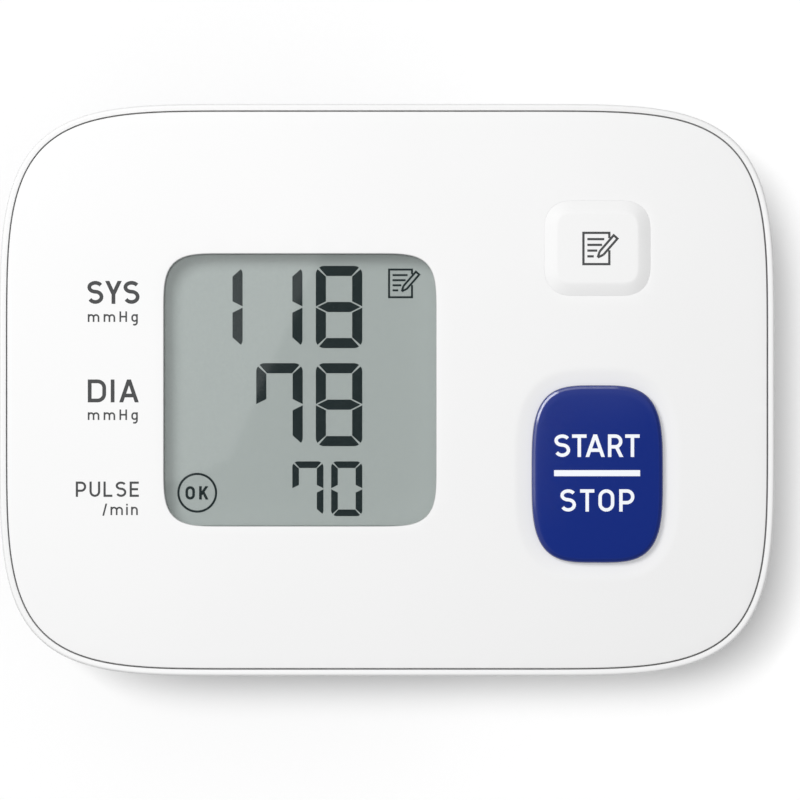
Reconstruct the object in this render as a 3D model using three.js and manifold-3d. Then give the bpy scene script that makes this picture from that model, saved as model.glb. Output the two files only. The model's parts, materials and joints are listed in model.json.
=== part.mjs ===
// Wrist blood pressure monitor: a moulded case with display, keys, pump and cells, on a wrist cuff.
// Millimetres, +Z up. It lies on the underside of its closed cuff with the display facing up.
// X runs along the case, Y across it, and the origin is on the ground under the middle of the case.
// Heights inside the case are counted from its rear face.

import * as THREE from 'three';
import { mergeVertices } from 'three/addons/utils/BufferGeometryUtils.js';
import Module from 'manifold-3d';

const wasm = await Module();
wasm.setup();

// Case outline, seen from the front
const CASE_LENGTH = 84;
const CASE_HEIGHT = 62;
const LONG_SIDE_STRAIGHT = 28;
const SHORT_SIDE_STRAIGHT = 6;
const CASE_CORNER_POWER = 4.3;

// Case walls and edges
const CASE_WALL = 1.8;
const CASE_FLOOR = 1.8;
const REAR_EDGE_INSET = 4;
const REAR_EDGE_HEIGHT = 12;
const REAR_EDGE_POWER = 2.6;
const RIM_WIDTH = 0.82;
const RIM_ROUND = 2.4;
const RIM_DROP = 0.15;
const PARTING_GAP = 0.16;

// Front cover
const PANEL_THICKNESS = 2;
const PANEL_CROWN = 0.5;
const PANEL_EDGE_ROUND = 0.4;
const SKIRT_DEPTH = 2.5;
const SKIRT_THICKNESS = 1.2;

// Clearances: a moulded piece in its recess, a bonded joint, a loose seat, a screw in its hole
const FIT = 0.15;
const BOND = 0.05;
const SEAT = 0.3;
const SCREW_PLAY = 0.3;

// Room beside the window and the start key, as shares of the length that both leave free
const LABEL_SHARE = 0.4421;
const KEY_END_SHARE = 0.3025;

// Display
const WINDOW_SIZE = 29.7;
const WINDOW_CORNER = 6.7;
const WINDOW_POWER = 4;
const LENS_RECESS = 1.3;
const LENS_FLANGE = 0.85;
const LENS_FLANGE_WIDTH = 1.6;
const DISPLAY_AIR = 0.1;
const LCD_THICKNESS = 1.6;
const LCD_MARGIN = 1.35;
const LCD_LEDGE = 1.5;
const LCD_HOLDER_WALL = 1.7;
const CONNECTOR_HEIGHT = 1.5;
const CONNECTOR_WIDTH = 2;
const CONNECTOR_LENGTH = 30;

// Keys and their switches
const START_KEY_WIDTH = 14.2;
const START_KEY_LENGTH = 19.2;
const START_KEY_POWER = 3.6;
const START_KEY_Y = -9.1;
const START_KEY_RISE = 1.1;
const START_KEY_EDGE = 0.8;
const START_KEY_SHOULDER = 0.45;
const START_KEY_EDGE_SHARE = 0.7;
const DISH_WIDTH = 1.75;
const DISH_DEPTH = 0.5;
const MEMORY_KEY_WIDTH = 11.5;
const MEMORY_KEY_LENGTH = 10.3;
const MEMORY_KEY_CORNER = 3.4;
const MEMORY_KEY_POWER = 2.6;
const MEMORY_KEY_Y = 15.35;
const MEMORY_KEY_RISE = 0.45;
const MEMORY_KEY_BEVEL = 1.5;
const KEY_GAP = 0.15;
const KEY_FLANGE = 0.8;
const KEY_FLANGE_WIDTH = 1;
const KEY_STEM = 0.5;
const KEY_STEM_DIAMETER = 4;
const SWITCH_SIZE = 6;
const PLUNGER_DIAMETER = 3.2;
const PLUNGER_RISE = 0.5;
const PLUNGER_DEPTH = 1.1;
const PLUNGER_WELL = 1.7;

// Main board and what it carries
const BOARD_CORNER = 6;
const BOARD_THICKNESS = 1;
const BOARD_LEFT_MARGIN = 10;
const BOARD_RIGHT_MARGIN = 7;
const BOARD_GAP = 0.4;
const BOARD_POST_DIAMETER = 3.6;
const BOARD_POST_SPREAD = 25;
const BOARD_POST_MARGIN = 0.2;
const BOARD_SCREW_DIAMETER = 1.6;
const BOARD_SCREW_HEAD = 3.2;
const BOARD_SCREW_HEAD_HEIGHT = 1.1;
const BOARD_SCREW_LENGTH = 4;
const PROCESSOR_SIZE = 7;
const PROCESSOR_HEIGHT = 1.2;
const SENSOR_SIZE = 7;
const SENSOR_HEIGHT = 3;
const SENSOR_OFFSET_X = 6;
const SENSOR_Y = -14.5;
const CAPACITOR_DIAMETER = 5;
const CAPACITOR_LENGTH = 9;
const CAPACITOR_Y = 3;

// Cells, contacts and their bay
const CELL_COUNT = 2;
const CELL_DIAMETER = 10.5;
const CELL_LENGTH = 44.5;
const CELL_NUB_DIAMETER = 3.8;
const CELL_NUB_HEIGHT = 0.9;
const CELL_PLAY = 0.3;
const BAY_RIGHT_MARGIN = 6.1;
const BAY_WALL = 1;
const BAY_ROOF = 0.6;
const CONTACT_THICKNESS = 0.5;
const CONTACT_HEIGHT = 8;
const CONTACT_WIDTH = 8;
const SPRING_LENGTH = 3.2;
const SPRING_WIRE = 0.45;
const SPRING_TURNS = 3;
const SPRING_BASE_RADIUS = 3.2;
const SPRING_TOP_RADIUS = 2.1;

// Battery cover
const DOOR_PLATE = 1;
const DOOR_LIP = 0.8;
const DOOR_CORNER = 3;
const DOOR_END_MARGIN = 0.55;
const LATCH_WIDTH = 9;
const LATCH_REACH = 1.6;
const GRIP_COUNT = 4;
const GRIP_LENGTH = 9;
const GRIP_WIDTH = 0.6;
const GRIP_PITCH = 1.5;
const GRIP_DEPTH = 0.35;
const GRIP_END_MARGIN = 4.5;

// Case screws, their bosses in the rear case and pillars under the front cover
const POST_DIAMETER = 5.2;
const POST_LEFT_MARGIN = 7.4;
const POST_LEFT_SIDE_MARGIN = 13;
const POST_RIGHT_SIDE_MARGIN = 7;
const BOSS_HEIGHT = 6.9;
const CASE_SCREW_DIAMETER = 2;
const CASE_SCREW_HEAD = 4.4;
const CASE_SCREW_HEAD_HEIGHT = 1.4;
const CASE_SCREW_SUNK = 0.9;
const CASE_SCREW_GRIP = 5;
const PILOT_SPARE = 1.5;

// Pump, valve, manifold and tubes
const PUMP_LEFT_MARGIN = 16.2;
const PUMP_START_Y = -20;
const MOTOR_DIAMETER = 10.4;
const MOTOR_LENGTH = 17;
const PUMP_HEAD_LENGTH = 12;
const PUMP_HEAD_WIDTH = 11.2;
const PUMP_HEAD_CORNER = 1.5;
const CRADLE_THICKNESS = 1.5;
const CRADLE_WIDTH = 9;
const CRADLE_END_MARGIN = 3;
const PUMP_TUBE_GAP = 2.5;
const MANIFOLD_SIZE = 9;
const MANIFOLD_HEIGHT = 8;
const MANIFOLD_CORNER = 1.5;
const AIR_AXIS_RISE = 4.55;
const STUB_DIAMETER = 1.7;
const STUB_LENGTH = 2.6;
const SENSOR_PORT_LENGTH = 3;
const TUBE_DIAMETER = 3.8;
const TUBE_BORE = 2.3;
const VALVE_WIDTH = 8.6;
const VALVE_LENGTH = 11;
const VALVE_PLATE = 1;
const VALVE_GAP = 5.6;
const COIL_DIAMETER = 6.6;
const COIL_FLANGE = 0.8;
const COIL_FLANGE_STEP = 0.6;

// Cuff: wrist opening, layers from the wrist outwards, edges and closing flap
const CUFF_LEFT_MARGIN = 2.95;
const CUFF_DOOR_MARGIN = 0.6;
const OPENING_WIDTH = 44;
const OPENING_HEIGHT = 42;
const TOP_BEND = 13;
const BOTTOM_BEND = 15;
const LINING = 0.7;
const BLADDER = 2;
const CURLER = 1;
const COVER = 0.8;
const LAYER_GAP = 0.15;
const CUFF_SEAT = 0.1;
const BINDING = 0.9;
const BLADDER_EDGE_MARGIN = 3;
const WING_DROP = 10;
const PAD_END_Y = -4;
const TAIL_RAMP = 7;
const FLAP = 1.7;
const HOOK_TAPE = 0.8;
const HOOK_TAPE_LENGTH = 17;
const HOOK_TAPE_MARGIN = 3;
const FLAP_BEND = 17;
const FLAP_TOP_MARGIN = 3;
const FOLD_ANGLE = 45;
const FOLD_GAP = 0.3;
const CUFF_SCREW_MARGIN = 3.75;
const CUFF_BOSS_DIAMETER = 4.6;
const CUFF_SCREW_DIAMETER = 2;
const CUFF_SCREW_HEAD = 4.8;
const CUFF_SCREW_HEAD_HEIGHT = 1.2;
const NIPPLE_DIAMETER = 3.8;
const NIPPLE_RISE = 4.8;

// Facets
const CASE_CORNER_STEPS = 10;
const KEY_CORNER_STEPS = 6;
const FILLET_STEPS = 3;
const BEND_STEPS = 8;
const ROUND_SIDES = 16;
const SMALL_SIDES = 10;
const TUBE_SIDES = 8;

// Heights in the case, from the rear face up
const cellAxis = CASE_FLOOR + CELL_PLAY + CELL_DIAMETER / 2;
const bayCeiling = cellAxis + CELL_DIAMETER / 2 + CELL_PLAY;
const boardBottom = bayCeiling + BAY_ROOF + BOARD_GAP;
const boardTop = boardBottom + BOARD_THICKNESS;
const lcdBottom = boardTop + CONNECTOR_HEIGHT;
const lcdTop = lcdBottom + LCD_THICKNESS;
const lensBottom = lcdTop + DISPLAY_AIR;
const panelBack = lensBottom + LENS_FLANGE + BOND;
const panelFront = panelBack + PANEL_THICKNESS;
const panelEdge = panelFront - PANEL_CROWN;
const airAxis = CASE_FLOOR + AIR_AXIS_RISE;
const bossTop = CASE_FLOOR + BOSS_HEIGHT;

// Places in the case
const caseLeft = -CASE_LENGTH / 2;
const caseRight = CASE_LENGTH / 2;
const caseTop = CASE_HEIGHT / 2;
const faceRoom = CASE_LENGTH - WINDOW_SIZE - START_KEY_WIDTH;
const windowX = caseLeft + faceRoom * LABEL_SHARE + WINDOW_SIZE / 2;
const keyX = caseRight - faceRoom * KEY_END_SHARE - START_KEY_WIDTH / 2;
const lcdHalf = WINDOW_SIZE / 2 + LCD_MARGIN;
const holderHalf = lcdHalf + SEAT + LCD_HOLDER_WALL;
const boardLeft = caseLeft + BOARD_LEFT_MARGIN;
const boardLength = CASE_LENGTH - BOARD_LEFT_MARGIN - BOARD_RIGHT_MARGIN;
const boardPostY = holderHalf + SEAT + BOARD_POST_DIAMETER / 2;
const boardHalfY = boardPostY + BOARD_POST_DIAMETER / 2 + BOARD_POST_MARGIN;
const bayWidth = CELL_COUNT * (CELL_DIAMETER + CELL_PLAY) + CELL_PLAY;
const bayRight = caseRight - BAY_RIGHT_MARGIN;
const bayLeft = bayRight - bayWidth;
const bayMiddle = (bayLeft + bayRight) / 2;
const bayHalf = (CELL_LENGTH + SPRING_LENGTH + CELL_PLAY) / 2 + CONTACT_THICKNESS + FIT;
const contactFace = bayHalf - FIT - CONTACT_THICKNESS;
const contactBottom = cellAxis - CONTACT_HEIGHT / 2;
const doorHalfX = bayWidth / 2 + DOOR_LIP;
const doorHalfY = CELL_LENGTH / 2 + DOOR_END_MARGIN + DOOR_LIP;
const pumpX = caseLeft + PUMP_LEFT_MARGIN;
const pumpAxis = CASE_FLOOR + SEAT + MOTOR_DIAMETER / 2;
const pumpHeadStart = PUMP_START_Y + MOTOR_LENGTH + SEAT;
const manifoldX = pumpX + PUMP_HEAD_WIDTH / 2 + 2 * STUB_LENGTH + PUMP_TUBE_GAP + MANIFOLD_SIZE / 2;
const sensorX = manifoldX + SENSOR_OFFSET_X;
const capacitorX = (manifoldX + MANIFOLD_SIZE / 2 + bayLeft - BAY_WALL) / 2;
const postRightX = bayLeft - BAY_WALL - POST_DIAMETER / 2 - 2 * SEAT;
const casePosts = [
  [caseLeft + POST_LEFT_MARGIN, caseTop - POST_LEFT_SIDE_MARGIN],
  [caseLeft + POST_LEFT_MARGIN, -caseTop + POST_LEFT_SIDE_MARGIN],
  [postRightX, caseTop - POST_RIGHT_SIDE_MARGIN],
  [postRightX, -caseTop + POST_RIGHT_SIDE_MARGIN],
];
const boardPosts = [
  [windowX, boardPostY],
  [windowX - BOARD_POST_SPREAD / 2, -boardPostY],
  [windowX + BOARD_POST_SPREAD / 2, -boardPostY],
];

// Cuff measures
const cuffThickness = LINING + BLADDER + CURLER + COVER + 3 * LAYER_GAP;
const bladderInner = LINING + LAYER_GAP;
const bladderOuter = bladderInner + BLADDER;
const curlerInner = bladderOuter + LAYER_GAP;
const curlerOuter = curlerInner + CURLER;
const coverInner = curlerOuter + LAYER_GAP;
const openingTop = cuffThickness + OPENING_HEIGHT;
const caseRear = openingTop + cuffThickness + CUFF_SEAT;
const cuffRight = bayMiddle - doorHalfX - FIT - CUFF_DOOR_MARGIN;
const cuffLeft = caseLeft + CUFF_LEFT_MARGIN;
const wingSide = -OPENING_WIDTH / 2;
const flapSide = wingSide - cuffThickness - SEAT - HOOK_TAPE - FLAP;
const cuffScrewXs = [cuffLeft + CUFF_SCREW_MARGIN, cuffRight - CUFF_SCREW_MARGIN];

// A closed outline with superelliptic corners between straight sides, moved inwards by the inset.
function squircle(halfX, halfY, cornerX, cornerY, power, steps, inset = 0) {
  const points = [];
  for (let quadrant = 0; quadrant < 4; quadrant += 1) {
    const signX = quadrant === 0 || quadrant === 3 ? 1 : -1;
    const signY = quadrant < 2 ? 1 : -1;
    for (let step = 0; step <= steps; step += 1) {
      const share = quadrant % 2 === 0 ? step / steps : 1 - step / steps;
      const u = Math.cos((share * Math.PI) / 2) ** (2 / power);
      const v = Math.sin((share * Math.PI) / 2) ** (2 / power);
      const slopeX = u ** (power - 1) / cornerX;
      const slopeY = v ** (power - 1) / cornerY;
      const slope = Math.hypot(slopeX, slopeY);
      const x = halfX - cornerX + cornerX * u - (inset * slopeX) / slope;
      const y = halfY - cornerY + cornerY * v - (inset * slopeY) / slope;
      points.push(new THREE.Vector2(signX * x, signY * y));
    }
  }
  return points.filter((point, i) => point.distanceTo(points[(i + 1) % points.length]) > 1e-5);
}

function caseOutline(inset) {
  const cornerX = (CASE_LENGTH - LONG_SIDE_STRAIGHT) / 2;
  const cornerY = (CASE_HEIGHT - SHORT_SIDE_STRAIGHT) / 2;
  const halfX = CASE_LENGTH / 2;
  const halfY = CASE_HEIGHT / 2;
  return squircle(halfX, halfY, cornerX, cornerY, CASE_CORNER_POWER, CASE_CORNER_STEPS, inset);
}

function windowOutline(inset) {
  const half = WINDOW_SIZE / 2;
  return squircle(half, half, WINDOW_CORNER, WINDOW_CORNER, WINDOW_POWER, KEY_CORNER_STEPS, inset);
}

function startKeyOutline(inset) {
  const halfX = START_KEY_WIDTH / 2;
  const halfY = START_KEY_LENGTH / 2;
  return squircle(halfX, halfY, halfX, halfY, START_KEY_POWER, KEY_CORNER_STEPS, inset);
}

function memoryKeyOutline(inset) {
  const halfX = MEMORY_KEY_WIDTH / 2;
  const halfY = MEMORY_KEY_LENGTH / 2;
  const corner = MEMORY_KEY_CORNER;
  return squircle(halfX, halfY, corner, corner, MEMORY_KEY_POWER, KEY_CORNER_STEPS, inset);
}

function roundedRectangle(halfX, halfY, radius) {
  return squircle(halfX, halfY, radius, radius, 2, FILLET_STEPS);
}

function polygon(diameter, sides) {
  const points = [];
  for (let i = 0; i < sides; i += 1) {
    const angle = (2 * Math.PI * i) / sides;
    points.push(new THREE.Vector2(Math.cos(angle), Math.sin(angle)).multiplyScalar(diameter / 2));
  }
  return points;
}

function level(points, z) {
  return points.map((point) => new THREE.Vector3(point.x, point.y, z));
}

// A closed skin through rings of points, with a fan of triangles over the first and the last ring.
function loft(rings) {
  const count = rings[0].length;
  const points = rings.flat();
  const index = [];
  for (let row = 0; row < rings.length - 1; row += 1) {
    for (let i = 0; i < count; i += 1) {
      const a = row * count + i;
      const b = row * count + ((i + 1) % count);
      index.push(a, b, b + count, a, b + count, a + count);
    }
  }
  const ends = [rings[0], rings[rings.length - 1]];
  ends.forEach((ring, end) => {
    const first = end === 0 ? 0 : (rings.length - 1) * count;
    const centre = points.length;
    const middle = ring.reduce((sum, point) => sum.add(point), new THREE.Vector3());
    points.push(middle.divideScalar(count));
    for (let i = 0; i < count; i += 1) {
      const a = first + i;
      const b = first + ((i + 1) % count);
      index.push(centre, ...(end === 0 ? [b, a] : [a, b]));
    }
  });
  const geometry = new THREE.BufferGeometry().setFromPoints(points);
  geometry.setIndex(index);
  return geometry;
}

// A moulded form: an outline carried up through pairs of inset and height.
function moulding(outline, profile) {
  return loft(profile.map(([inset, z]) => level(outline(inset), z)));
}

function prism(points, bottom, top, holes = []) {
  const shape = new THREE.Shape(points);
  shape.holes = holes.map((hole) => new THREE.Path(hole));
  const geometry = new THREE.ExtrudeGeometry(shape, { depth: top - bottom, bevelEnabled: false });
  return geometry.translate(0, 0, bottom);
}

function block(sizeX, sizeY, bottom, top) {
  return new THREE.BoxGeometry(sizeX, sizeY, top - bottom).translate(0, 0, (bottom + top) / 2);
}

function rod(diameter, bottom, top, sides = SMALL_SIDES) {
  return prism(polygon(diameter, sides), bottom, top);
}

function rodAlongX(diameter, from, to, sides = SMALL_SIDES) {
  return rod(diameter, from, to, sides).rotateY(Math.PI / 2);
}

function rodAlongY(diameter, from, to, sides = SMALL_SIDES) {
  return rod(diameter, from, to, sides).rotateX(-Math.PI / 2);
}

// A body of revolution about the Y axis, from pairs of radius and place along the axis.
function turned(profile, sides = ROUND_SIDES) {
  return new THREE.LatheGeometry(profile.map(([r, y]) => new THREE.Vector2(r, y)), sides);
}

// Joining and cutting of closed skins
function solid(geometry) {
  const bare = geometry.clone();
  bare.deleteAttribute('normal');
  bare.deleteAttribute('uv');
  const merged = mergeVertices(bare);
  const vertProperties = new Float32Array(merged.attributes.position.array);
  const triVerts = new Uint32Array(merged.index.array);
  const mesh = new wasm.Mesh({ numProp: 3, vertProperties, triVerts });
  return new wasm.Manifold(mesh);
}

function skin(body) {
  const mesh = body.getMesh();
  const geometry = new THREE.BufferGeometry();
  geometry.setAttribute('position', new THREE.BufferAttribute(new Float32Array(mesh.vertProperties), 3));
  geometry.setIndex(new THREE.BufferAttribute(new Uint32Array(mesh.triVerts), 1));
  return geometry;
}

function joined(base, additions) {
  return skin(additions.reduce((body, part) => body.add(solid(part)), solid(base)));
}

function cut(base, cutters) {
  return skin(cutters.reduce((body, part) => body.subtract(solid(part)), solid(base)));
}

function finish(color, roughness, metalness = 0) {
  return new THREE.MeshStandardMaterial({ color, roughness, metalness });
}

function addPiece(group, name, geometry, material) {
  const flat = geometry.index ? geometry.toNonIndexed() : geometry;
  flat.computeVertexNormals();
  const mesh = new THREE.Mesh(flat, material);
  mesh.name = name;
  group.add(mesh);
  return mesh;
}

// Finishes
const whitePlastic = () => finish(0xf2f3f3, 0.35);
const bluePlastic = () => finish(0x24377f, 0.18);
const clearPlastic = () => finish(0xe8eeee, 0.05);
const greyPlastic = () => finish(0x8c9092, 0.5);
const blackPlastic = () => finish(0x1d1f21, 0.5);
const boardGreen = () => finish(0x1f5a3a, 0.45);
const rubber = () => finish(0x303234, 0.75);
const silicone = () => finish(0xd9dcd8, 0.6);
const steel = () => finish(0xb4b7ba, 0.3, 1);
const nickel = () => finish(0xc6c3bb, 0.25, 1);
const copper = () => finish(0xa9643c, 0.4, 1);
const darkFabric = () => finish(0x4a4d52, 0.95);
const greyFabric = () => finish(0x8f9398, 0.9);

// Angles of a rounded edge, from its start to a quarter turn
const quarterTurn = Array.from({ length: FILLET_STEPS + 1 }, (_, i) => (i * Math.PI) / (2 * FILLET_STEPS));

// The curve of the rear edge: how far the side lies inside the outline at a share of its height.
function rearEdge(share) {
  return 1 - (1 - (1 - share) ** REAR_EDGE_POWER) ** (1 / REAR_EDGE_POWER);
}

function sideProfile() {
  const shares = [0, 0.04, 0.12, 0.25, 0.5, 1];
  const side = shares.map((share) => [REAR_EDGE_INSET * rearEdge(share), REAR_EDGE_HEIGHT * share]);
  const rimTop = panelEdge - RIM_DROP;
  const rim = quarterTurn.map((angle) => [
    RIM_WIDTH * (1 - Math.cos(angle)),
    rimTop - RIM_ROUND * (1 - Math.sin(angle)),
  ]);
  return [...side, ...rim];
}

function innerProfile() {
  const floorInset = REAR_EDGE_INSET - CASE_WALL;
  const rise = REAR_EDGE_HEIGHT - CASE_FLOOR;
  return [1, 0.4, 0.12, 0.04, 0].map((share) => [
    CASE_WALL + floorInset * rearEdge(share),
    CASE_FLOOR + rise * share,
  ]);
}

// Rear case: a tray with a rolled rear edge, a rim round the front cover, bosses and the cell bay
function rearCaseShell() {
  const ledge = panelBack - BOND;
  const rebate = [[RIM_WIDTH, ledge], [CASE_WALL, ledge]];
  return moulding(caseOutline, [...sideProfile(), ...rebate, ...innerProfile()]);
}

function cellBay() {
  const halfX = bayWidth / 2;
  const bottom = CASE_FLOOR / 2;
  const outer = block(bayWidth + 2 * BAY_WALL, 2 * (bayHalf + BAY_WALL), bottom, bayCeiling + BAY_ROOF);
  const inner = block(2 * halfX, 2 * bayHalf, bottom - 1, bayCeiling);
  return cut(outer, [inner]).translate(bayMiddle, 0, 0);
}

// Slot at an end of the bay for its contact
function contactSlot(side) {
  const depth = CONTACT_THICKNESS + FIT;
  const slot = block(bayWidth, depth, contactBottom - FIT, contactBottom + CONTACT_HEIGHT + FIT);
  return slot.translate(bayMiddle, side * (contactFace + depth / 2), 0);
}

function pumpCradle(y) {
  const rib = block(CRADLE_WIDTH, CRADLE_THICKNESS, CASE_FLOOR / 2, pumpAxis - MOTOR_DIAMETER / 4);
  const bed = rodAlongY(MOTOR_DIAMETER + 2 * SEAT, -CRADLE_THICKNESS, CRADLE_THICKNESS, ROUND_SIDES);
  return cut(rib, [bed.translate(0, 0, pumpAxis)]).translate(pumpX, y, 0);
}

function doorOpening() {
  const plate = roundedRectangle(doorHalfX + FIT, doorHalfY + FIT, DOOR_CORNER + FIT);
  const halfX = doorHalfX - DOOR_LIP;
  const halfY = doorHalfY - DOOR_LIP;
  const hole = roundedRectangle(halfX, halfY, DOOR_CORNER - DOOR_LIP);
  const latch = roundedRectangle(LATCH_WIDTH / 2 + FIT, LATCH_REACH + FIT, LATCH_REACH / 2);
  return [
    prism(plate, -1, DOOR_PLATE + FIT).translate(bayMiddle, 0, 0),
    prism(hole, -1, CASE_FLOOR + 1).translate(bayMiddle, 0, 0),
    prism(latch, -1, DOOR_PLATE + FIT).translate(bayMiddle, doorHalfY, 0),
  ];
}

function rearCase() {
  const hull = solid(moulding(caseOutline, sideProfile()));
  const cradles = [
    pumpCradle(PUMP_START_Y + CRADLE_END_MARGIN),
    pumpCradle(PUMP_START_Y + MOTOR_LENGTH - CRADLE_END_MARGIN),
  ];
  const bossDiameter = CASE_SCREW_HEAD + 2 * SCREW_PLAY + 1;
  const bosses = casePosts.map(([x, y]) => rod(bossDiameter, CASE_FLOOR / 2, bossTop, ROUND_SIDES)
    .translate(x, y, 0));
  const inside = [cellBay(), ...cradles, ...bosses].map((part) => solid(part).intersect(hull));
  const bodied = inside.reduce((body, part) => body.add(part), solid(rearCaseShell()));
  const headHole = CASE_SCREW_SUNK + CASE_SCREW_HEAD_HEIGHT + FIT;
  const cutters = [...doorOpening(), contactSlot(1), contactSlot(-1)];
  casePosts.forEach(([x, y]) => {
    cutters.push(rod(CASE_SCREW_HEAD + 2 * SCREW_PLAY, -1, headHole, ROUND_SIDES).translate(x, y, 0));
    cutters.push(rod(CASE_SCREW_DIAMETER + 2 * SCREW_PLAY, -1, bossTop + 1).translate(x, y, 0));
  });
  cuffScrewXs.forEach((x) => {
    cutters.push(rod(CUFF_SCREW_DIAMETER + 2 * SCREW_PLAY, -1, CASE_FLOOR + 1).translate(x, 0, 0));
    cutters.push(rod(CUFF_BOSS_DIAMETER + 2 * SEAT, -1, CASE_FLOOR / 2, ROUND_SIDES).translate(x, 0, 0));
  });
  cutters.push(rod(NIPPLE_DIAMETER + 2 * SEAT, -1, CASE_FLOOR + 1, ROUND_SIDES).translate(manifoldX, 0, 0));
  return skin(cutters.reduce((body, part) => body.subtract(solid(part)), bodied));
}

// Height of the crowned panel face, highest in its middle
function panelFace(x, y) {
  const u = Math.abs(x / (CASE_LENGTH / 2)) ** CASE_CORNER_POWER;
  const v = Math.abs(y / (CASE_HEIGHT / 2)) ** CASE_CORNER_POWER;
  return panelFront - PANEL_CROWN * Math.min(1, (u + v) ** (2 / CASE_CORNER_POWER));
}

const startFace = panelFace(keyX, START_KEY_Y);
const memoryFace = panelFace(keyX, MEMORY_KEY_Y);

function panelBlank() {
  const edge = RIM_WIDTH + PARTING_GAP;
  const skirtOuter = CASE_WALL + FIT;
  const skirtInner = skirtOuter + SKIRT_THICKNESS;
  const skirtEnd = panelBack - SKIRT_DEPTH;
  const rings = [
    [skirtInner, panelBack],
    [skirtInner, skirtEnd],
    [skirtOuter, skirtEnd],
    [skirtOuter, panelBack],
    [edge, panelBack],
    [edge, panelEdge - PANEL_EDGE_ROUND],
    [edge + PANEL_EDGE_ROUND * 0.3, panelEdge - PANEL_EDGE_ROUND * 0.3],
  ].map(([inset, z]) => level(caseOutline(inset), z));
  const rimPoints = caseOutline(edge + PANEL_EDGE_ROUND);
  [1, 0.75, 0.45, 0.15].forEach((scale) => {
    rings.push(rimPoints.map((point) => {
      const x = point.x * scale;
      const y = point.y * scale;
      return new THREE.Vector3(x, y, panelFace(x, y));
    }));
  });
  return loft(rings);
}

// Shallow dish round the start key, as the solid that is scooped out
function dish() {
  const floor = startFace - DISH_DEPTH;
  return moulding(startKeyOutline, [
    [-KEY_GAP, floor],
    [-KEY_GAP - DISH_WIDTH * 0.15, floor],
    [-DISH_WIDTH * 0.6, startFace - DISH_DEPTH * 0.35],
    [-DISH_WIDTH, startFace + 0.02],
    [-DISH_WIDTH, startFace + 1],
  ]).translate(keyX, START_KEY_Y, 0);
}

function postsUnder(places, diameter, end) {
  return places.map(([x, y]) => rod(diameter, end, panelBack + PANEL_THICKNESS / 2, ROUND_SIDES)
    .translate(x, y, 0));
}

function frontCover() {
  const posts = [
    ...postsUnder(casePosts, POST_DIAMETER, bossTop + SEAT),
    ...postsUnder(boardPosts, BOARD_POST_DIAMETER, boardTop),
  ];
  const through = [panelBack - 1, panelFront + 1];
  const cutters = [
    prism(windowOutline(0), ...through).translate(windowX, 0, 0),
    prism(startKeyOutline(-KEY_GAP), ...through).translate(keyX, START_KEY_Y, 0),
    prism(memoryKeyOutline(-KEY_GAP), ...through).translate(keyX, MEMORY_KEY_Y, 0),
    dish(),
  ];
  casePosts.forEach(([x, y]) => {
    const top = bossTop + SEAT + CASE_SCREW_GRIP + PILOT_SPARE;
    cutters.push(rod(CASE_SCREW_DIAMETER + 2 * SCREW_PLAY, bossTop, top).translate(x, y, 0));
  });
  boardPosts.forEach(([x, y]) => {
    const top = boardBottom + BOARD_SCREW_LENGTH + SEAT;
    cutters.push(rod(BOARD_SCREW_DIAMETER + 2 * SCREW_PLAY, boardBottom, top).translate(x, y, 0));
  });
  return cut(joined(panelBlank(), posts), cutters);
}

function displayLens() {
  const top = panelFront - LENS_RECESS;
  const flangeTop = lensBottom + LENS_FLANGE;
  return moulding(windowOutline, [
    [-LENS_FLANGE_WIDTH, lensBottom],
    [-LENS_FLANGE_WIDTH, flangeTop],
    [FIT, flangeTop],
    [FIT, top],
  ]).translate(windowX, 0, 0);
}

// Start/stop key: flange under the panel, straight sides, rounded edge and crowned top
function startKey() {
  const flangeTop = panelBack - BOND;
  const shoulder = startFace + START_KEY_SHOULDER;
  const edgeRise = (START_KEY_RISE - START_KEY_SHOULDER) * START_KEY_EDGE_SHARE;
  const edge = quarterTurn.map((angle) => [
    START_KEY_EDGE * (1 - Math.cos(angle)),
    shoulder + edgeRise * Math.sin(angle),
  ]);
  const rings = [
    [-KEY_FLANGE_WIDTH, flangeTop - KEY_FLANGE],
    [-KEY_FLANGE_WIDTH, flangeTop],
    [0, flangeTop],
    ...edge,
  ].map(([inset, z]) => level(startKeyOutline(inset), z));
  const rim = startKeyOutline(START_KEY_EDGE);
  const rimTop = edge[edge.length - 1][1];
  [0.7, 0.35].forEach((scale) => {
    const z = startFace + START_KEY_RISE - (startFace + START_KEY_RISE - rimTop) * scale ** 2;
    rings.push(rim.map((point) => new THREE.Vector3(point.x * scale, point.y * scale, z)));
  });
  return withStem(loft(rings), flangeTop - KEY_FLANGE).translate(keyX, START_KEY_Y, 0);
}

// Memory key: a low top with long sloping sides
function memoryKey() {
  const flangeTop = panelBack - BOND;
  const top = memoryFace + MEMORY_KEY_RISE;
  const body = moulding(memoryKeyOutline, [
    [-KEY_FLANGE_WIDTH, flangeTop - KEY_FLANGE],
    [-KEY_FLANGE_WIDTH, flangeTop],
    [0, flangeTop],
    [0, memoryFace],
    [MEMORY_KEY_BEVEL * 0.8, memoryFace + MEMORY_KEY_RISE * 0.9],
    [MEMORY_KEY_BEVEL, top],
  ]);
  return withStem(body, flangeTop - KEY_FLANGE).translate(keyX, MEMORY_KEY_Y, 0);
}

function withStem(body, flangeBottom) {
  return joined(body, [rod(KEY_STEM_DIAMETER, flangeBottom - KEY_STEM, flangeBottom + KEY_FLANGE / 2)]);
}

// Tact switch: a square body with a plunger that the key's stem meets
const plungerTop = panelBack - BOND - KEY_FLANGE - KEY_STEM - BOND;
const switchTop = plungerTop - PLUNGER_RISE;

function switchBody(y) {
  const body = block(SWITCH_SIZE, SWITCH_SIZE, boardTop, switchTop);
  const well = rod(PLUNGER_DIAMETER + 2 * FIT, switchTop - PLUNGER_WELL, switchTop + 1);
  return cut(body, [well]).translate(keyX, y, 0);
}

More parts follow.
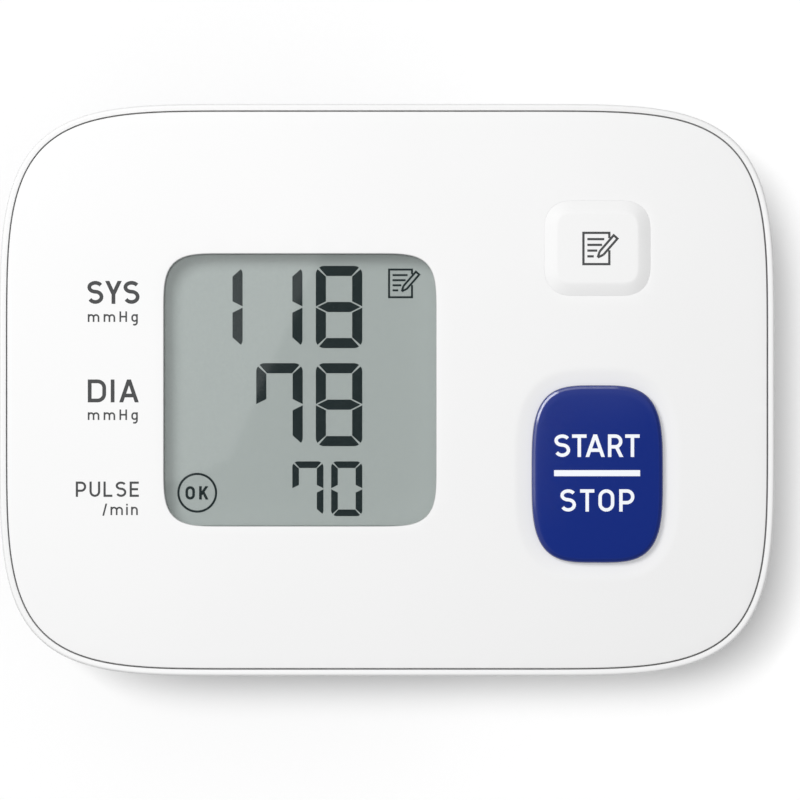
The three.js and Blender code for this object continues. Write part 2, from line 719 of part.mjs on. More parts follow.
function switchPlunger(y) {
  return rod(PLUNGER_DIAMETER, switchTop - PLUNGER_DEPTH, plungerTop).translate(keyX, y, 0);
}

// LCD: a wide rear glass with contact ledges and a shorter front glass
function lcdCell() {
  const middle = (lcdBottom + lcdTop) / 2;
  const rear = block(2 * lcdHalf, 2 * lcdHalf, lcdBottom, middle);
  const front = block(2 * lcdHalf, 2 * (lcdHalf - LCD_LEDGE), middle - LCD_THICKNESS / 4, lcdTop);
  return joined(rear, [front]).translate(windowX, 0, 0);
}

function lcdHolder() {
  const outer = roundedRectangle(holderHalf, holderHalf, LCD_HOLDER_WALL);
  const inner = roundedRectangle(lcdHalf + SEAT, lcdHalf + SEAT, SEAT);
  return prism(outer, boardTop, lcdTop - DISPLAY_AIR, [inner]).translate(windowX, 0, 0);
}

function connectorStrip(side) {
  const y = side * (lcdHalf - CONNECTOR_WIDTH / 2);
  return block(CONNECTOR_LENGTH, CONNECTOR_WIDTH, boardTop, lcdBottom).translate(windowX, y, 0);
}

// Main board with holes for its screws and notches round the case posts
function mainBoard() {
  const outline = roundedRectangle(boardLength / 2, boardHalfY, BOARD_CORNER);
  const blank = prism(outline, boardBottom, boardTop).translate(boardLeft + boardLength / 2, 0, 0);
  const through = [boardBottom - 1, boardTop + 1];
  const holes = boardPosts.map(([x, y]) => rod(BOARD_SCREW_DIAMETER + 2 * SCREW_PLAY, ...through)
    .translate(x, y, 0));
  const notches = casePosts.map(([x, y]) => rod(POST_DIAMETER + 2 * SEAT, ...through, ROUND_SIDES)
    .translate(x, y, 0));
  return cut(blank, [...holes, ...notches]);
}

function processor() {
  const x = (windowX + holderHalf + keyX - SWITCH_SIZE / 2) / 2;
  return block(PROCESSOR_SIZE, PROCESSOR_SIZE, boardTop, boardTop + PROCESSOR_HEIGHT).translate(x, 0, 0);
}

function pressureSensor() {
  const bottom = boardBottom - SENSOR_HEIGHT;
  const body = block(SENSOR_SIZE, SENSOR_SIZE, bottom, boardBottom);
  const port = rod(STUB_DIAMETER, bottom - SENSOR_PORT_LENGTH, bottom + SENSOR_HEIGHT / 2, TUBE_SIDES);
  return joined(body, [port]).translate(sensorX, SENSOR_Y, 0);
}

function capacitor() {
  const radius = CAPACITOR_DIAMETER / 2;
  const z = boardBottom - FIT - radius;
  return turned([
    [0, 0],
    [radius * 0.85, 0],
    [radius, radius * 0.2],
    [radius, CAPACITOR_LENGTH - radius * 0.2],
    [radius * 0.85, CAPACITOR_LENGTH],
    [0, CAPACITOR_LENGTH],
  ], SMALL_SIDES).translate(capacitorX, CAPACITOR_Y, z);
}

// A pan-head screw that points up, with its head's underside at the given height
function screw(diameter, headDiameter, headHeight, length) {
  const head = rod(headDiameter, -headHeight, 0);
  const slot = block(headDiameter * 0.7, headHeight * 0.4, -headHeight - 1, -headHeight * 0.6);
  return joined(cut(head, [slot]), [rod(diameter, -headHeight * 0.3, length, TUBE_SIDES)]);
}

function caseScrew([x, y]) {
  const seat = CASE_SCREW_SUNK + CASE_SCREW_HEAD_HEIGHT;
  const length = bossTop + SEAT + CASE_SCREW_GRIP - seat;
  return screw(CASE_SCREW_DIAMETER, CASE_SCREW_HEAD, CASE_SCREW_HEAD_HEIGHT, length).translate(x, y, seat);
}

function boardScrew([x, y]) {
  return screw(BOARD_SCREW_DIAMETER, BOARD_SCREW_HEAD, BOARD_SCREW_HEAD_HEIGHT, BOARD_SCREW_LENGTH)
    .translate(x, y, boardBottom - BOND);
}

// Screw from inside the case, through its floor and the cuff's cover, into the curler's boss
function cuffScrew(x) {
  const length = CASE_FLOOR + CUFF_SEAT + COVER + LAYER_GAP + CURLER;
  return screw(CUFF_SCREW_DIAMETER, CUFF_SCREW_HEAD, CUFF_SCREW_HEAD_HEIGHT, length)
    .rotateX(Math.PI).translate(x, 0, CASE_FLOOR + BOND);
}

// Cells lie side by side with opposite ends up the bay; each has a spring at its flat end
function cellX(index) {
  return bayLeft + CELL_PLAY + CELL_DIAMETER / 2 + index * (CELL_DIAMETER + CELL_PLAY);
}

function cellWay(index) {
  return index % 2 === 0 ? 1 : -1;
}

function cell(index) {
  const radius = CELL_DIAMETER / 2;
  const nub = CELL_NUB_DIAMETER / 2;
  const body = CELL_LENGTH - CELL_NUB_HEIGHT;
  const chamfer = radius * 0.1;
  const start = contactFace - CELL_PLAY - CELL_LENGTH;
  const shape = turned([
    [0, 0],
    [radius - chamfer, 0],
    [radius, chamfer],
    [radius, body - chamfer],
    [radius - chamfer, body],
    [nub, body],
    [nub, CELL_LENGTH],
    [0, CELL_LENGTH],
  ]).translate(0, start, 0);
  if (cellWay(index) < 0) {
    shape.rotateZ(Math.PI);
  }
  return shape.translate(cellX(index), 0, cellAxis);
}

// Conical spring wire: the radius shrinks and the place along the axis grows steadily with the angle.
class ConeCoil extends THREE.Curve {
  getPoint(t, target = new THREE.Vector3()) {
    const angle = 2 * Math.PI * SPRING_TURNS * t;
    const radius = SPRING_BASE_RADIUS + (SPRING_TOP_RADIUS - SPRING_BASE_RADIUS) * t;
    const start = SPRING_WIRE / 2 + BOND;
    const rise = SPRING_LENGTH - 2 * start;
    return target.set(radius * Math.cos(angle), start + rise * t, radius * Math.sin(angle));
  }
}

function coilGap(coil) {
  const perTurn = 48;
  const points = coil.getPoints(perTurn * SPRING_TURNS);
  let least = Infinity;
  points.forEach((point, i) => {
    points.slice(i + perTurn / 2).forEach((other) => {
      least = Math.min(least, point.distanceTo(other));
    });
  });
  return least - SPRING_WIRE;
}

const coil = new ConeCoil();
console.log(`least gap between spring turns: ${coilGap(coil).toFixed(2)} mm`);

function cellSpring(index) {
  const shape = new THREE.Shape(polygon(SPRING_WIRE, 5));
  const steps = 8 * SPRING_TURNS;
  const wire = new THREE.ExtrudeGeometry(shape, { steps, extrudePath: coil, bevelEnabled: false });
  wire.translate(0, -contactFace, 0);
  if (cellWay(index) < 0) {
    wire.rotateZ(Math.PI);
  }
  return wire.translate(cellX(index), 0, cellAxis);
}

function contactPlate(from, to, side) {
  const y = side * (contactFace + CONTACT_THICKNESS / 2);
  const plate = block(to - from, CONTACT_THICKNESS, contactBottom, contactBottom + CONTACT_HEIGHT);
  return plate.translate((from + to) / 2, y, 0);
}

function contactTab(index) {
  return contactPlate(cellX(index) - CONTACT_WIDTH / 2, cellX(index) + CONTACT_WIDTH / 2, -1);
}

function contactBridge() {
  return contactPlate(cellX(0) - CONTACT_WIDTH / 2, cellX(CELL_COUNT - 1) + CONTACT_WIDTH / 2, 1);
}

// Battery cover: a plate in a rebate, a plug in the opening, a latch tab and a patch of grip grooves
function batteryCover() {
  const plate = prism(roundedRectangle(doorHalfX, doorHalfY, DOOR_CORNER), 0, DOOR_PLATE);
  const plugHalfX = doorHalfX - DOOR_LIP - FIT;
  const plugHalfY = doorHalfY - DOOR_LIP - FIT;
  const plug = prism(
    roundedRectangle(plugHalfX, plugHalfY, DOOR_CORNER - DOOR_LIP - FIT),
    DOOR_PLATE / 2,
    CASE_FLOOR,
  );
  const tab = prism(roundedRectangle(LATCH_WIDTH / 2, LATCH_REACH, LATCH_REACH / 2), 0, DOOR_PLATE)
    .translate(0, doorHalfY, 0);
  const grooves = [];
  for (let i = 0; i < GRIP_COUNT; i += 1) {
    const y = doorHalfY - GRIP_END_MARGIN - i * GRIP_PITCH;
    grooves.push(block(GRIP_LENGTH, GRIP_WIDTH, -1, GRIP_DEPTH).translate(0, y, 0));
  }
  return cut(joined(plate, [plug, tab]), grooves).translate(bayMiddle, 0, 0);
}

// Pump: a round motor and a squared diaphragm head with its outlet nozzle
function pumpMotor() {
  const radius = MOTOR_DIAMETER / 2;
  const boss = radius * 0.35;
  return turned([
    [0, 0],
    [boss, 0],
    [boss, radius * 0.2],
    [radius * 0.92, radius * 0.2],
    [radius, radius * 0.32],
    [radius, MOTOR_LENGTH],
    [0, MOTOR_LENGTH],
  ]).translate(pumpX, PUMP_START_Y, pumpAxis);
}

function pumpHead() {
  const half = PUMP_HEAD_LENGTH / 2;
  const outline = roundedRectangle(PUMP_HEAD_WIDTH / 2, MOTOR_DIAMETER / 2, PUMP_HEAD_CORNER);
  const body = prism(outline, -half, half).rotateX(Math.PI / 2);
  body.translate(0, pumpHeadStart + half, pumpAxis);
  const face = PUMP_HEAD_WIDTH / 2;
  const nozzle = rodAlongX(STUB_DIAMETER, face - 1, face + STUB_LENGTH, TUBE_SIDES).translate(0, 0, airAxis);
  return joined(body, [nozzle]).translate(pumpX, 0, 0);
}

// Manifold: a block over the cuff's nipple, with stubs to the pump, the valve and the sensor
function airManifold() {
  const half = MANIFOLD_SIZE / 2;
  const outline = roundedRectangle(half, half, MANIFOLD_CORNER);
  const body = prism(outline, CASE_FLOOR, CASE_FLOOR + MANIFOLD_HEIGHT);
  const reach = half + STUB_LENGTH;
  const stubs = [
    rodAlongX(STUB_DIAMETER, -reach, 0, TUBE_SIDES).translate(0, 0, airAxis),
    rodAlongY(STUB_DIAMETER, -reach, reach, TUBE_SIDES).translate(0, 0, airAxis),
  ];
  const socket = rod(NIPPLE_DIAMETER + 2 * SEAT, 0, NIPPLE_RISE + SEAT, ROUND_SIDES);
  return cut(joined(body, stubs), [socket]).translate(manifoldX, 0, 0);
}

function tube(points, steps) {
  const path = new THREE.CatmullRomCurve3(points.map((point) => new THREE.Vector3(...point)));
  const shape = new THREE.Shape(polygon(TUBE_DIAMETER, TUBE_SIDES));
  shape.holes.push(new THREE.Path(polygon(TUBE_BORE, TUBE_SIDES)));
  return new THREE.ExtrudeGeometry(shape, { steps, extrudePath: path, bevelEnabled: false });
}

const manifoldEdge = MANIFOLD_SIZE / 2 + SEAT;
const valveStart = MANIFOLD_SIZE / 2 + STUB_LENGTH + VALVE_GAP;

function pumpTube() {
  const from = pumpX + PUMP_HEAD_WIDTH / 2 + SEAT;
  return tube([[from, 0, airAxis], [manifoldX - manifoldEdge, 0, airAxis]], 1);
}

function valveTube() {
  return tube([[manifoldX, manifoldEdge, airAxis], [manifoldX, valveStart - SEAT, airAxis]], 1);
}

function sensorTube() {
  const top = boardBottom - SENSOR_HEIGHT - SEAT;
  const straight = manifoldEdge + STUB_LENGTH;
  return tube([
    [manifoldX, -manifoldEdge, airAxis],
    [manifoldX, -straight, airAxis],
    [manifoldX + SENSOR_OFFSET_X * 0.3, (SENSOR_Y - straight) / 2 - 1.5, airAxis - 0.8],
    [sensorX - 0.7, SENSOR_Y + 0.8, airAxis - 0.2],
    [sensorX, SENSOR_Y, top - SENSOR_PORT_LENGTH],
    [sensorX, SENSOR_Y, top],
  ], 14);
}

// Exhaust valve: a U-shaped steel yoke with a nozzle, and a wound bobbin between its plates
function valveYoke() {
  const half = VALVE_LENGTH / 2;
  const low = -VALVE_WIDTH / 2;
  const profile = [
    [-half, low],
    [half, low],
    [half, -low],
    [half - VALVE_PLATE, -low],
    [half - VALVE_PLATE, low + VALVE_PLATE],
    [-half + VALVE_PLATE, low + VALVE_PLATE],
    [-half + VALVE_PLATE, -low],
    [-half, -low],
  ].map(([y, z]) => new THREE.Vector2(y, z));
  const yoke = alongX(profile, low, -low);
  const nozzle = rodAlongY(STUB_DIAMETER, -half - STUB_LENGTH, -half + VALVE_PLATE / 2, TUBE_SIDES);
  return joined(yoke, [nozzle]).translate(manifoldX, valveStart + half, airAxis);
}

function valveCoil() {
  const half = VALVE_LENGTH / 2 - VALVE_PLATE - FIT;
  const radius = COIL_DIAMETER / 2;
  const flange = radius + COIL_FLANGE_STEP - SEAT;
  const inner = half - COIL_FLANGE;
  return turned([
    [0, -half],
    [flange, -half],
    [flange, -inner],
    [radius - COIL_FLANGE_STEP, -inner],
    [radius - COIL_FLANGE_STEP, inner],
    [flange, inner],
    [flange, half],
    [0, half],
  ], SMALL_SIDES).translate(manifoldX, valveStart + VALVE_LENGTH / 2, airAxis + VALVE_PLATE / 2);
}

// A profile in the YZ plane carried along X
function alongX(profile, from, to) {
  const basis = new THREE.Matrix4().makeBasis(
    new THREE.Vector3(0, 1, 0),
    new THREE.Vector3(0, 0, 1),
    new THREE.Vector3(1, 0, 0),
  );
  return prism(profile, from, to).applyMatrix4(basis);
}

// Cuff path: the wrist side of the cuff in the YZ plane, as stations with their outward direction.
// It runs up the short wing, over the top, down the far side, along the bottom and round to the flap.
function bend(centreY, centreZ, radius, fromDegrees, toDegrees) {
  const stations = [];
  for (let step = 0; step <= BEND_STEPS; step += 1) {
    const degrees = fromDegrees + ((toDegrees - fromDegrees) * step) / BEND_STEPS;
    const angle = THREE.MathUtils.degToRad(degrees);
    const out = new THREE.Vector2(Math.cos(angle), Math.sin(angle));
    stations.push({ place: new THREE.Vector2(centreY, centreZ).addScaledVector(out, radius), out });
  }
  return stations;
}

function spot(y, z, outY, outZ) {
  return { place: new THREE.Vector2(y, z), out: new THREE.Vector2(outY, outZ) };
}

const bendTopY = OPENING_WIDTH / 2 - TOP_BEND;
const bendTopZ = openingTop - TOP_BEND;
const flapBendY = flapSide + FLAP_BEND;
const flapBendRadius = FLAP_BEND - cuffThickness;
const wingEnd = bendTopZ - WING_DROP;
const foldStart = 270 - FOLD_ANGLE;

function padPath() {
  return [
    spot(wingSide, wingEnd, -1, 0),
    ...bend(-bendTopY, bendTopZ, TOP_BEND, 180, 90),
    ...bend(bendTopY, bendTopZ, TOP_BEND, 90, 0),
    ...bend(OPENING_WIDTH / 2 - BOTTOM_BEND, cuffThickness + BOTTOM_BEND, BOTTOM_BEND, 0, -90),
    spot(PAD_END_Y, cuffThickness, 0, -1),
  ];
}

// Past the padding the lining comes down to the cover, and both run on to the fold as a thin tail.
function tailPath() {
  const ramp = [];
  for (let step = 1; step <= BEND_STEPS; step += 1) {
    const share = step / BEND_STEPS;
    const sink = share * share * (3 - 2 * share);
    ramp.push({ ...spot(PAD_END_Y - TAIL_RAMP * share, cuffThickness, 0, -1), sink });
  }
  const turn = bend(flapBendY, FLAP_BEND, flapBendRadius, 270, foldStart);
  return [...ramp, ...turn.map((station) => ({ ...station, sink: 1 }))];
}

function flapPath() {
  const gapDegrees = THREE.MathUtils.radToDeg(FOLD_GAP / (FLAP_BEND - FLAP));
  return [
    ...bend(flapBendY, FLAP_BEND, flapBendRadius, foldStart - gapDegrees, 180),
    spot(flapSide + cuffThickness, openingTop - FLAP_TOP_MARGIN, -1, 0),
  ];
}

// A layer of the cuff between two distances from the path, from one edge to the other
function layer(stations, inner, outer, from, to) {
  const side = (distance) => stations.map((station) => {
    const offset = typeof distance === 'function' ? distance(station) : distance;
    return station.place.clone().addScaledVector(station.out, offset);
  });
  return alongX([...side(inner), ...side(outer).reverse()].reverse(), from, to);
}

const tailLining = coverInner - LAYER_GAP - LINING;
const liningInner = (station) => (station.sink ?? 0) * tailLining;
const liningOuter = (station) => liningInner(station) + LINING;
const bandPath = [...padPath(), ...tailPath()];
const sheetLeft = cuffLeft + BINDING + LAYER_GAP;
const sheetRight = cuffRight - BINDING - LAYER_GAP;

function cuffCover() {
  const sheet = layer(bandPath, coverInner, cuffThickness, sheetLeft, sheetRight);
  const bottom = openingTop + bladderOuter;
  const holes = cuffScrewXs.map((x) => rod(CUFF_BOSS_DIAMETER + 2 * SEAT, bottom, caseRear, ROUND_SIDES)
    .translate(x, 0, 0));
  holes.push(rod(NIPPLE_DIAMETER + 2 * SEAT, bottom, caseRear, ROUND_SIDES).translate(manifoldX, 0, 0));
  return cut(sheet, holes);
}

function cuffLining() {
  return layer(bandPath, liningInner, liningOuter, sheetLeft, sheetRight);
}

function cuffBladder() {
  const left = sheetLeft + BLADDER_EDGE_MARGIN;
  const right = sheetRight - BLADDER_EDGE_MARGIN;
  const pad = layer(padPath(), bladderInner, bladderOuter, left, right);
  const root = openingTop + bladderInner + BLADDER / 2;
  const nipple = rod(NIPPLE_DIAMETER, root, caseRear + NIPPLE_RISE, ROUND_SIDES);
  return joined(pad, [nipple.translate(manifoldX, 0, 0)]);
}

function cuffCurler() {
  const band = layer(padPath(), curlerInner, curlerOuter, sheetLeft + BINDING, sheetRight - BINDING);
  const bottom = openingTop + curlerInner;
  const bossEnd = caseRear + CASE_FLOOR / 2 - SEAT;
  const bosses = cuffScrewXs.map((x) => rod(CUFF_BOSS_DIAMETER, bottom + CURLER / 2, bossEnd, ROUND_SIDES)
    .translate(x, 0, 0));
  const pilotDiameter = CUFF_SCREW_DIAMETER + 2 * SCREW_PLAY;
  const pilots = cuffScrewXs.map((x) => rod(pilotDiameter, bottom - 1, caseRear + CASE_FLOOR)
    .translate(x, 0, 0));
  const nippleHole = rod(NIPPLE_DIAMETER + 2 * SEAT, bottom - 1, caseRear, ROUND_SIDES);
  return cut(joined(band, bosses), [...pilots, nippleHole.translate(manifoldX, 0, 0)]);
}

// Binding tape: a strip along each edge and one across the short wing's end
function cuffBinding() {
  const end = [
    spot(wingSide, wingEnd - LAYER_GAP - BINDING, -1, 0),
    spot(wingSide, wingEnd - LAYER_GAP, -1, 0),
  ];
  const strip = [end[0], ...bandPath];
  const left = layer(strip, liningInner, cuffThickness, cuffLeft, cuffLeft + BINDING);
  const right = layer(strip, liningInner, cuffThickness, cuffRight - BINDING, cuffRight);
  const across = layer(end, 0, cuffThickness, cuffLeft + BINDING / 2, cuffRight - BINDING / 2);
  return joined(left, [right, across]);
}

function cuffFlap() {
  return layer(flapPath(), cuffThickness - FLAP, cuffThickness, cuffLeft, cuffRight);
}

function hookTape() {
  const top = openingTop - FLAP_TOP_MARGIN - HOOK_TAPE_MARGIN;
  const strip = [
    spot(flapSide + cuffThickness, top - HOOK_TAPE_LENGTH, -1, 0),
    spot(flapSide + cuffThickness, top, -1, 0),
  ];
  const outer = cuffThickness - FLAP - BOND;
  const edge = HOOK_TAPE_MARGIN;
  return layer(strip, outer - HOOK_TAPE + BOND, outer, cuffLeft + edge, cuffRight - edge);
}

// The assembly: the case stands on the cuff
const monitor = new THREE.Group();
const caseGroup = new THREE.Group();
caseGroup.position.z = caseRear;
const cuffGroup = new THREE.Group();
monitor.add(caseGroup, cuffGroup);

addPiece(caseGroup, 'rear_case', rearCase(), whitePlastic());
addPiece(caseGroup, 'front_cover', frontCover(), whitePlastic());
addPiece(caseGroup, 'display_lens', displayLens(), clearPlastic());
addPiece(caseGroup, 'start_stop_key', startKey(), bluePlastic());
addPiece(caseGroup, 'memory_key', memoryKey(), whitePlastic());
addPiece(caseGroup, 'start_switch', switchBody(START_KEY_Y), blackPlastic());
addPiece(caseGroup, 'start_switch_plunger', switchPlunger(START_KEY_Y), greyPlastic());
addPiece(caseGroup, 'memory_switch', switchBody(MEMORY_KEY_Y), blackPlastic());
addPiece(caseGroup, 'memory_switch_plunger', switchPlunger(MEMORY_KEY_Y), greyPlastic());
addPiece(caseGroup, 'lcd_cell', lcdCell(), finish(0xa8b2b0, 0.25));
addPiece(caseGroup, 'lcd_holder', lcdHolder(), whitePlastic());
addPiece(caseGroup, 'lcd_connector_upper', connectorStrip(1), rubber());
addPiece(caseGroup, 'lcd_connector_lower', connectorStrip(-1), rubber());
addPiece(caseGroup, 'main_board', mainBoard(), boardGreen());
addPiece(caseGroup, 'processor', processor(), blackPlastic());
addPiece(caseGroup, 'pressure_sensor', pressureSensor(), blackPlastic());
addPiece(caseGroup, 'capacitor', capacitor(), blackPlastic());
addPiece(caseGroup, 'pump_motor', pumpMotor(), steel());
addPiece(caseGroup, 'pump_head', pumpHead(), blackPlastic());
addPiece(caseGroup, 'air_manifold', airManifold(), greyPlastic());
addPiece(caseGroup, 'pump_tube', pumpTube(), silicone());
addPiece(caseGroup, 'valve_tube', valveTube(), silicone());
addPiece(caseGroup, 'sensor_tube', sensorTube(), silicone());
addPiece(caseGroup, 'valve_yoke', valveYoke(), steel());
addPiece(caseGroup, 'valve_coil', valveCoil(), copper());
for (let i = 0; i < CELL_COUNT; i += 1) {
  addPiece(caseGroup, `cell_${i + 1}`, cell(i), finish(0x3a3d42, 0.35, 0.2));
  addPiece(caseGroup, `cell_spring_${i + 1}`, cellSpring(i), nickel());
  addPiece(caseGroup, `contact_tab_${i + 1}`, contactTab(i), nickel());
}
addPiece(caseGroup, 'contact_bridge', contactBridge(), nickel());
addPiece(caseGroup, 'battery_cover', batteryCover(), whitePlastic());
casePosts.forEach((post, i) => addPiece(caseGroup, `case_screw_${i + 1}`, caseScrew(post), steel()));
boardPosts.forEach((post, i) => addPiece(caseGroup, `board_screw_${i + 1}`, boardScrew(post), steel()));
cuffScrewXs.forEach((x, i) => addPiece(caseGroup, `cuff_screw_${i + 1}`, cuffScrew(x), steel()));
addPiece(cuffGroup, 'cuff_cover', cuffCover(), darkFabric());
addPiece(cuffGroup, 'cuff_curler', cuffCurler(), greyPlastic());
addPiece(cuffGroup, 'cuff_bladder', cuffBladder(), silicone());
addPiece(cuffGroup, 'cuff_lining', cuffLining(), greyFabric());
addPiece(cuffGroup, 'cuff_binding', cuffBinding(), darkFabric());
addPiece(cuffGroup, 'cuff_flap', cuffFlap(), darkFabric());
addPiece(cuffGroup, 'hook_tape', hookTape(), darkFabric());

export default monitor;
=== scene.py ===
import json
import math

import bmesh
import bpy
import numpy as np
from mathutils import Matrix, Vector
from mathutils.geometry import delaunay_2d_cdt


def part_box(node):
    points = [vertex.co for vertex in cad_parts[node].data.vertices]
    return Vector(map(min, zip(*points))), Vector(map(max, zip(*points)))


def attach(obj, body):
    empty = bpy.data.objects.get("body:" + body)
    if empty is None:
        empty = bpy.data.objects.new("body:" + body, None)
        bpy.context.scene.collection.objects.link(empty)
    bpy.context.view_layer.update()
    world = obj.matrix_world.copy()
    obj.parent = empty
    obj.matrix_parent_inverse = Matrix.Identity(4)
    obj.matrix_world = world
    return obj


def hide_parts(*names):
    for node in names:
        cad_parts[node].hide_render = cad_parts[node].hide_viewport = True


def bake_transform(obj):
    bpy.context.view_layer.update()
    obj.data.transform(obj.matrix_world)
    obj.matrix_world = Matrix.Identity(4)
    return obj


# Looks of the wrist blood pressure monitor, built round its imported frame
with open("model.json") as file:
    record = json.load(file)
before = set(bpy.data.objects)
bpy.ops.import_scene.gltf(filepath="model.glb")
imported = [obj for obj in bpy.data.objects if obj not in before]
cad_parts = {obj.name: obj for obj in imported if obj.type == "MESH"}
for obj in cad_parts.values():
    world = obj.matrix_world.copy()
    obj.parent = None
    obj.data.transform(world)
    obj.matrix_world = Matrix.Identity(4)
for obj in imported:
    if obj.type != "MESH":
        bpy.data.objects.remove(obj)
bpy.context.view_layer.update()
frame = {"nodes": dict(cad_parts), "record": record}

MM = 0.001


def node_box(name):
    """Lowest and highest corner of a CAD node, in millimetres."""
    low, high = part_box(name)
    return np.array(low) / MM, np.array(high) / MM


# Sizes are in millimetres: from the frame where it holds them, otherwise from the part and its photograph

# Case
case_low, case_high = node_box("rear_case")
CASE_HALF = (case_high - case_low)[:2] / 2
CASE_STRAIGHTS = np.array([28.0, 6.0])
CASE_CORNER = CASE_HALF - CASE_STRAIGHTS / 2
CASE_POWER = 4.3
CASE_WALL = 1.8
CASE_FLOOR = 1.8
REAR_EDGE_INSET = 4.0
REAR_EDGE_HEIGHT = 12.0
REAR_EDGE_POWER = 2.6
REAR_EDGE_CROWDING = 1.5
RIM_WIDTH = 0.7
RIM_ROLL = 0.28
RIM_ROUND = 0.42
RIM_SLOPE = 0.08
RIM_LIP = 0.05
RIM_DROP = 0.15
PARTING_GAP = 0.17
PARTING_DEPTH = 1.5
SEAT_PLAY = 0.05
CUT_SPARE = 1.0
rear_z = case_low[2]
rim_top = case_high[2]

# Case screws: the arms of the cross and the shank are shares of the head's radius and diameter
CASE_SCREWS = 4
SCREW_PLAY = 0.6
SCREW_SEAT = 1.55
SCREW_HEAD = 1.4
SCREW_ROUND = (0.5, 0.4)
SCREW_RECESS = 0.7
SCREW_CROSS = (0.55, 0.14)
SCREW_SHANK = 0.45

# Front cover
PANEL_THICKNESS = 2.0
PANEL_CROWN = 0.5
PANEL_EDGE_ROUND = 0.1
PANEL_GRID = 1.3
PANEL_GRID_MARGIN = 0.6
SKIRT_DEPTH = 2.5
SKIRT = (1.95, 3.15)
WINDOW_EDGE_ROUND = 0.14
KEY_HOLE_ROUND = 0.02
panel_front = rim_top + RIM_DROP + PANEL_CROWN
panel_back = panel_front - PANEL_THICKNESS

# Display
LENS_FLANGE_WIDTH = 1.6
LENS_FLANGE = 0.85
LENS_FIT = 0.01
LENS_EDGE = 0.02
WINDOW_INSET = 0.09
WINDOW_CORNER = 6.7
WINDOW_POWER = 4.0
lens_low, lens_high = node_box("display_lens")
window_centre = (lens_low + lens_high)[:2] / 2
window_half = (lens_high - lens_low)[:2] / 2 - LENS_FLANGE_WIDTH
lcd_top = node_box("lcd_cell")[1][2]

# Keys
KEY_FLANGE_WIDTH = 1.0
KEY_FLANGE = 0.8
START_KEY_POWER = 3.6
START_KEY_RISE = 0.85
# Lengths of the start key's lower round, chamfer and upper round, and the tilts at their ends in degrees
START_EDGE_WAYS = (0.42, 0.28, 0.15)
START_EDGE_TILTS = (90.0, 43.5, 43.5, 4.0)
START_KEY_SHOULDER = 0.1
START_KEY_CROWN = 2.5
START_KEY_GAP = 0.012
DISH_WIDTH = 1.75
DISH_DEPTH = 0.36
DISH_EASE = 0.006
MEMORY_KEY_CORNER = 3.4
MEMORY_KEY_POWER = 2.6
MEMORY_KEY_RISE = 0.62
MEMORY_KEY_BEVEL = 1.4
MEMORY_KEY_EASE = 1.2
MEMORY_KEY_GAP = 0.006
# Where the rings of points lie: shares of the start key's rim, the dish's width and the memory key's bevel
START_KEY_RINGS = (0.94, 0.05)
DISH_RINGS = (0.3, 1.25)
MEMORY_KEY_RINGS = 1.1
start_low, start_high = node_box("start_stop_key")
start_centre = (start_low + start_high)[:2] / 2
start_half = (start_high - start_low)[:2] / 2 - KEY_FLANGE_WIDTH
memory_low, memory_high = node_box("memory_key")
memory_centre = (memory_low + memory_high)[:2] / 2
memory_half = (memory_high - memory_low)[:2] / 2 - KEY_FLANGE_WIDTH

# Cells, their bay and its cover
CELLS = 2
CELL_PLAY = 0.3
BAY_WALL = 1.0
BAY_ROOF = 0.6
BAY_SINK = 0.2
DOOR_PLATE = 1.0
DOOR_LIP = 0.8
DOOR_CORNER = 3.0
DOOR_EDGE = 0.22
DOOR_FIT = 0.15
LATCH_WIDTH = 9.0
LATCH_REACH = 1.6
LATCH_CORNER = 0.8
GRIP_COUNT = 4
GRIP_HALF = np.array([4.5, 0.3])
GRIP_PITCH = 1.5
GRIP_DEPTH = 0.35
GRIP_DRAFT = 0.06
GRIP_END_MARGIN = 4.5
SLEEVE_BAND = 33.0
SLEEVE_ROLL = 0.5
SLEEVE_LAP = 1.1
SLEEVE_WALL = 0.05
CAN_INSET = 0.9
CAN_PLAY = 0.02
NUB_RADIUS = 1.9
NUB_HEIGHT = 0.9
NUB_FOOT = 0.1
NUB_ROUND = 0.3
POLE_RADIUS = 0.05
door_low, door_high = node_box("battery_cover")
door_high = door_high - np.array([0.0, LATCH_REACH, 0.0])

# Cuff: thicknesses, bends and edges of its layers, then the seams and hooks
CUFF = 4.95
OPENING = (44.0, 42.0)
TOP_BEND = 13.0
BOTTOM_BEND = 15.0
PAD_END_Y = -4.0
TAIL_RAMP = 7.0
FLAP = 1.7
FLAP_BEND = 17.0
FOLD_DEGREES = 225.0
FOLD_REACH = 2.5
LINING = 0.5
COVER = 0.4
TAIL_LINING = 3.3
TAPE = 0.42
TAPE_WIDTH = 4.2
TAPE_ROUND = 0.8
WING_END = 22.9
WING_CORNER = 4.2
FLAP_CORNER = 14.0
EDGE_DIP = 0.45
EDGE_DIP_LAP = 0.2
EDGE_DIP_REACH = 3.0
EDGE_INSET = 0.5
EDGE_CROWDING = 0.92
FACE_SINK = 0.02
PULL_DEPTH = 0.06
PULL_WAVE = 5.3
PULL_SWAY = 1.1
PULL_SWAY_WAVE = 7.0
STITCH_INSET = 3.3
STITCH_PITCH = 3.0
STITCH_LENGTH = 2.1
STITCH_WIDTH = 0.42
STITCH_HEIGHT = 0.336
STITCH_RISE = 0.02
HOOK_PITCH = 1.0
HOOK_BASE = 0.35
HOOK_BASE_EDGE = 0.1
HOOK_BASE_CORNER = 3.0
HOOK_MARGIN = 0.9
HOOK_START = (1.2, 1.4)
HOOK_END = (1.0, 1.2)
COURSE_STEPS_PER_MM = 10
BEND_STEPS_PER_DEGREE = 3
BORDER_STEP = 0.7

# Swell of the lining over the bladder
PAD_DEPTH = 1.5
PAD_HELD_SIDE = 0.4
PAD_HELD_END = 1.0
CLOTH_SCALE = 0.008
CLOTH_FRAMES = 20
PILLOW_CAP = 1.1
CALMING = 24

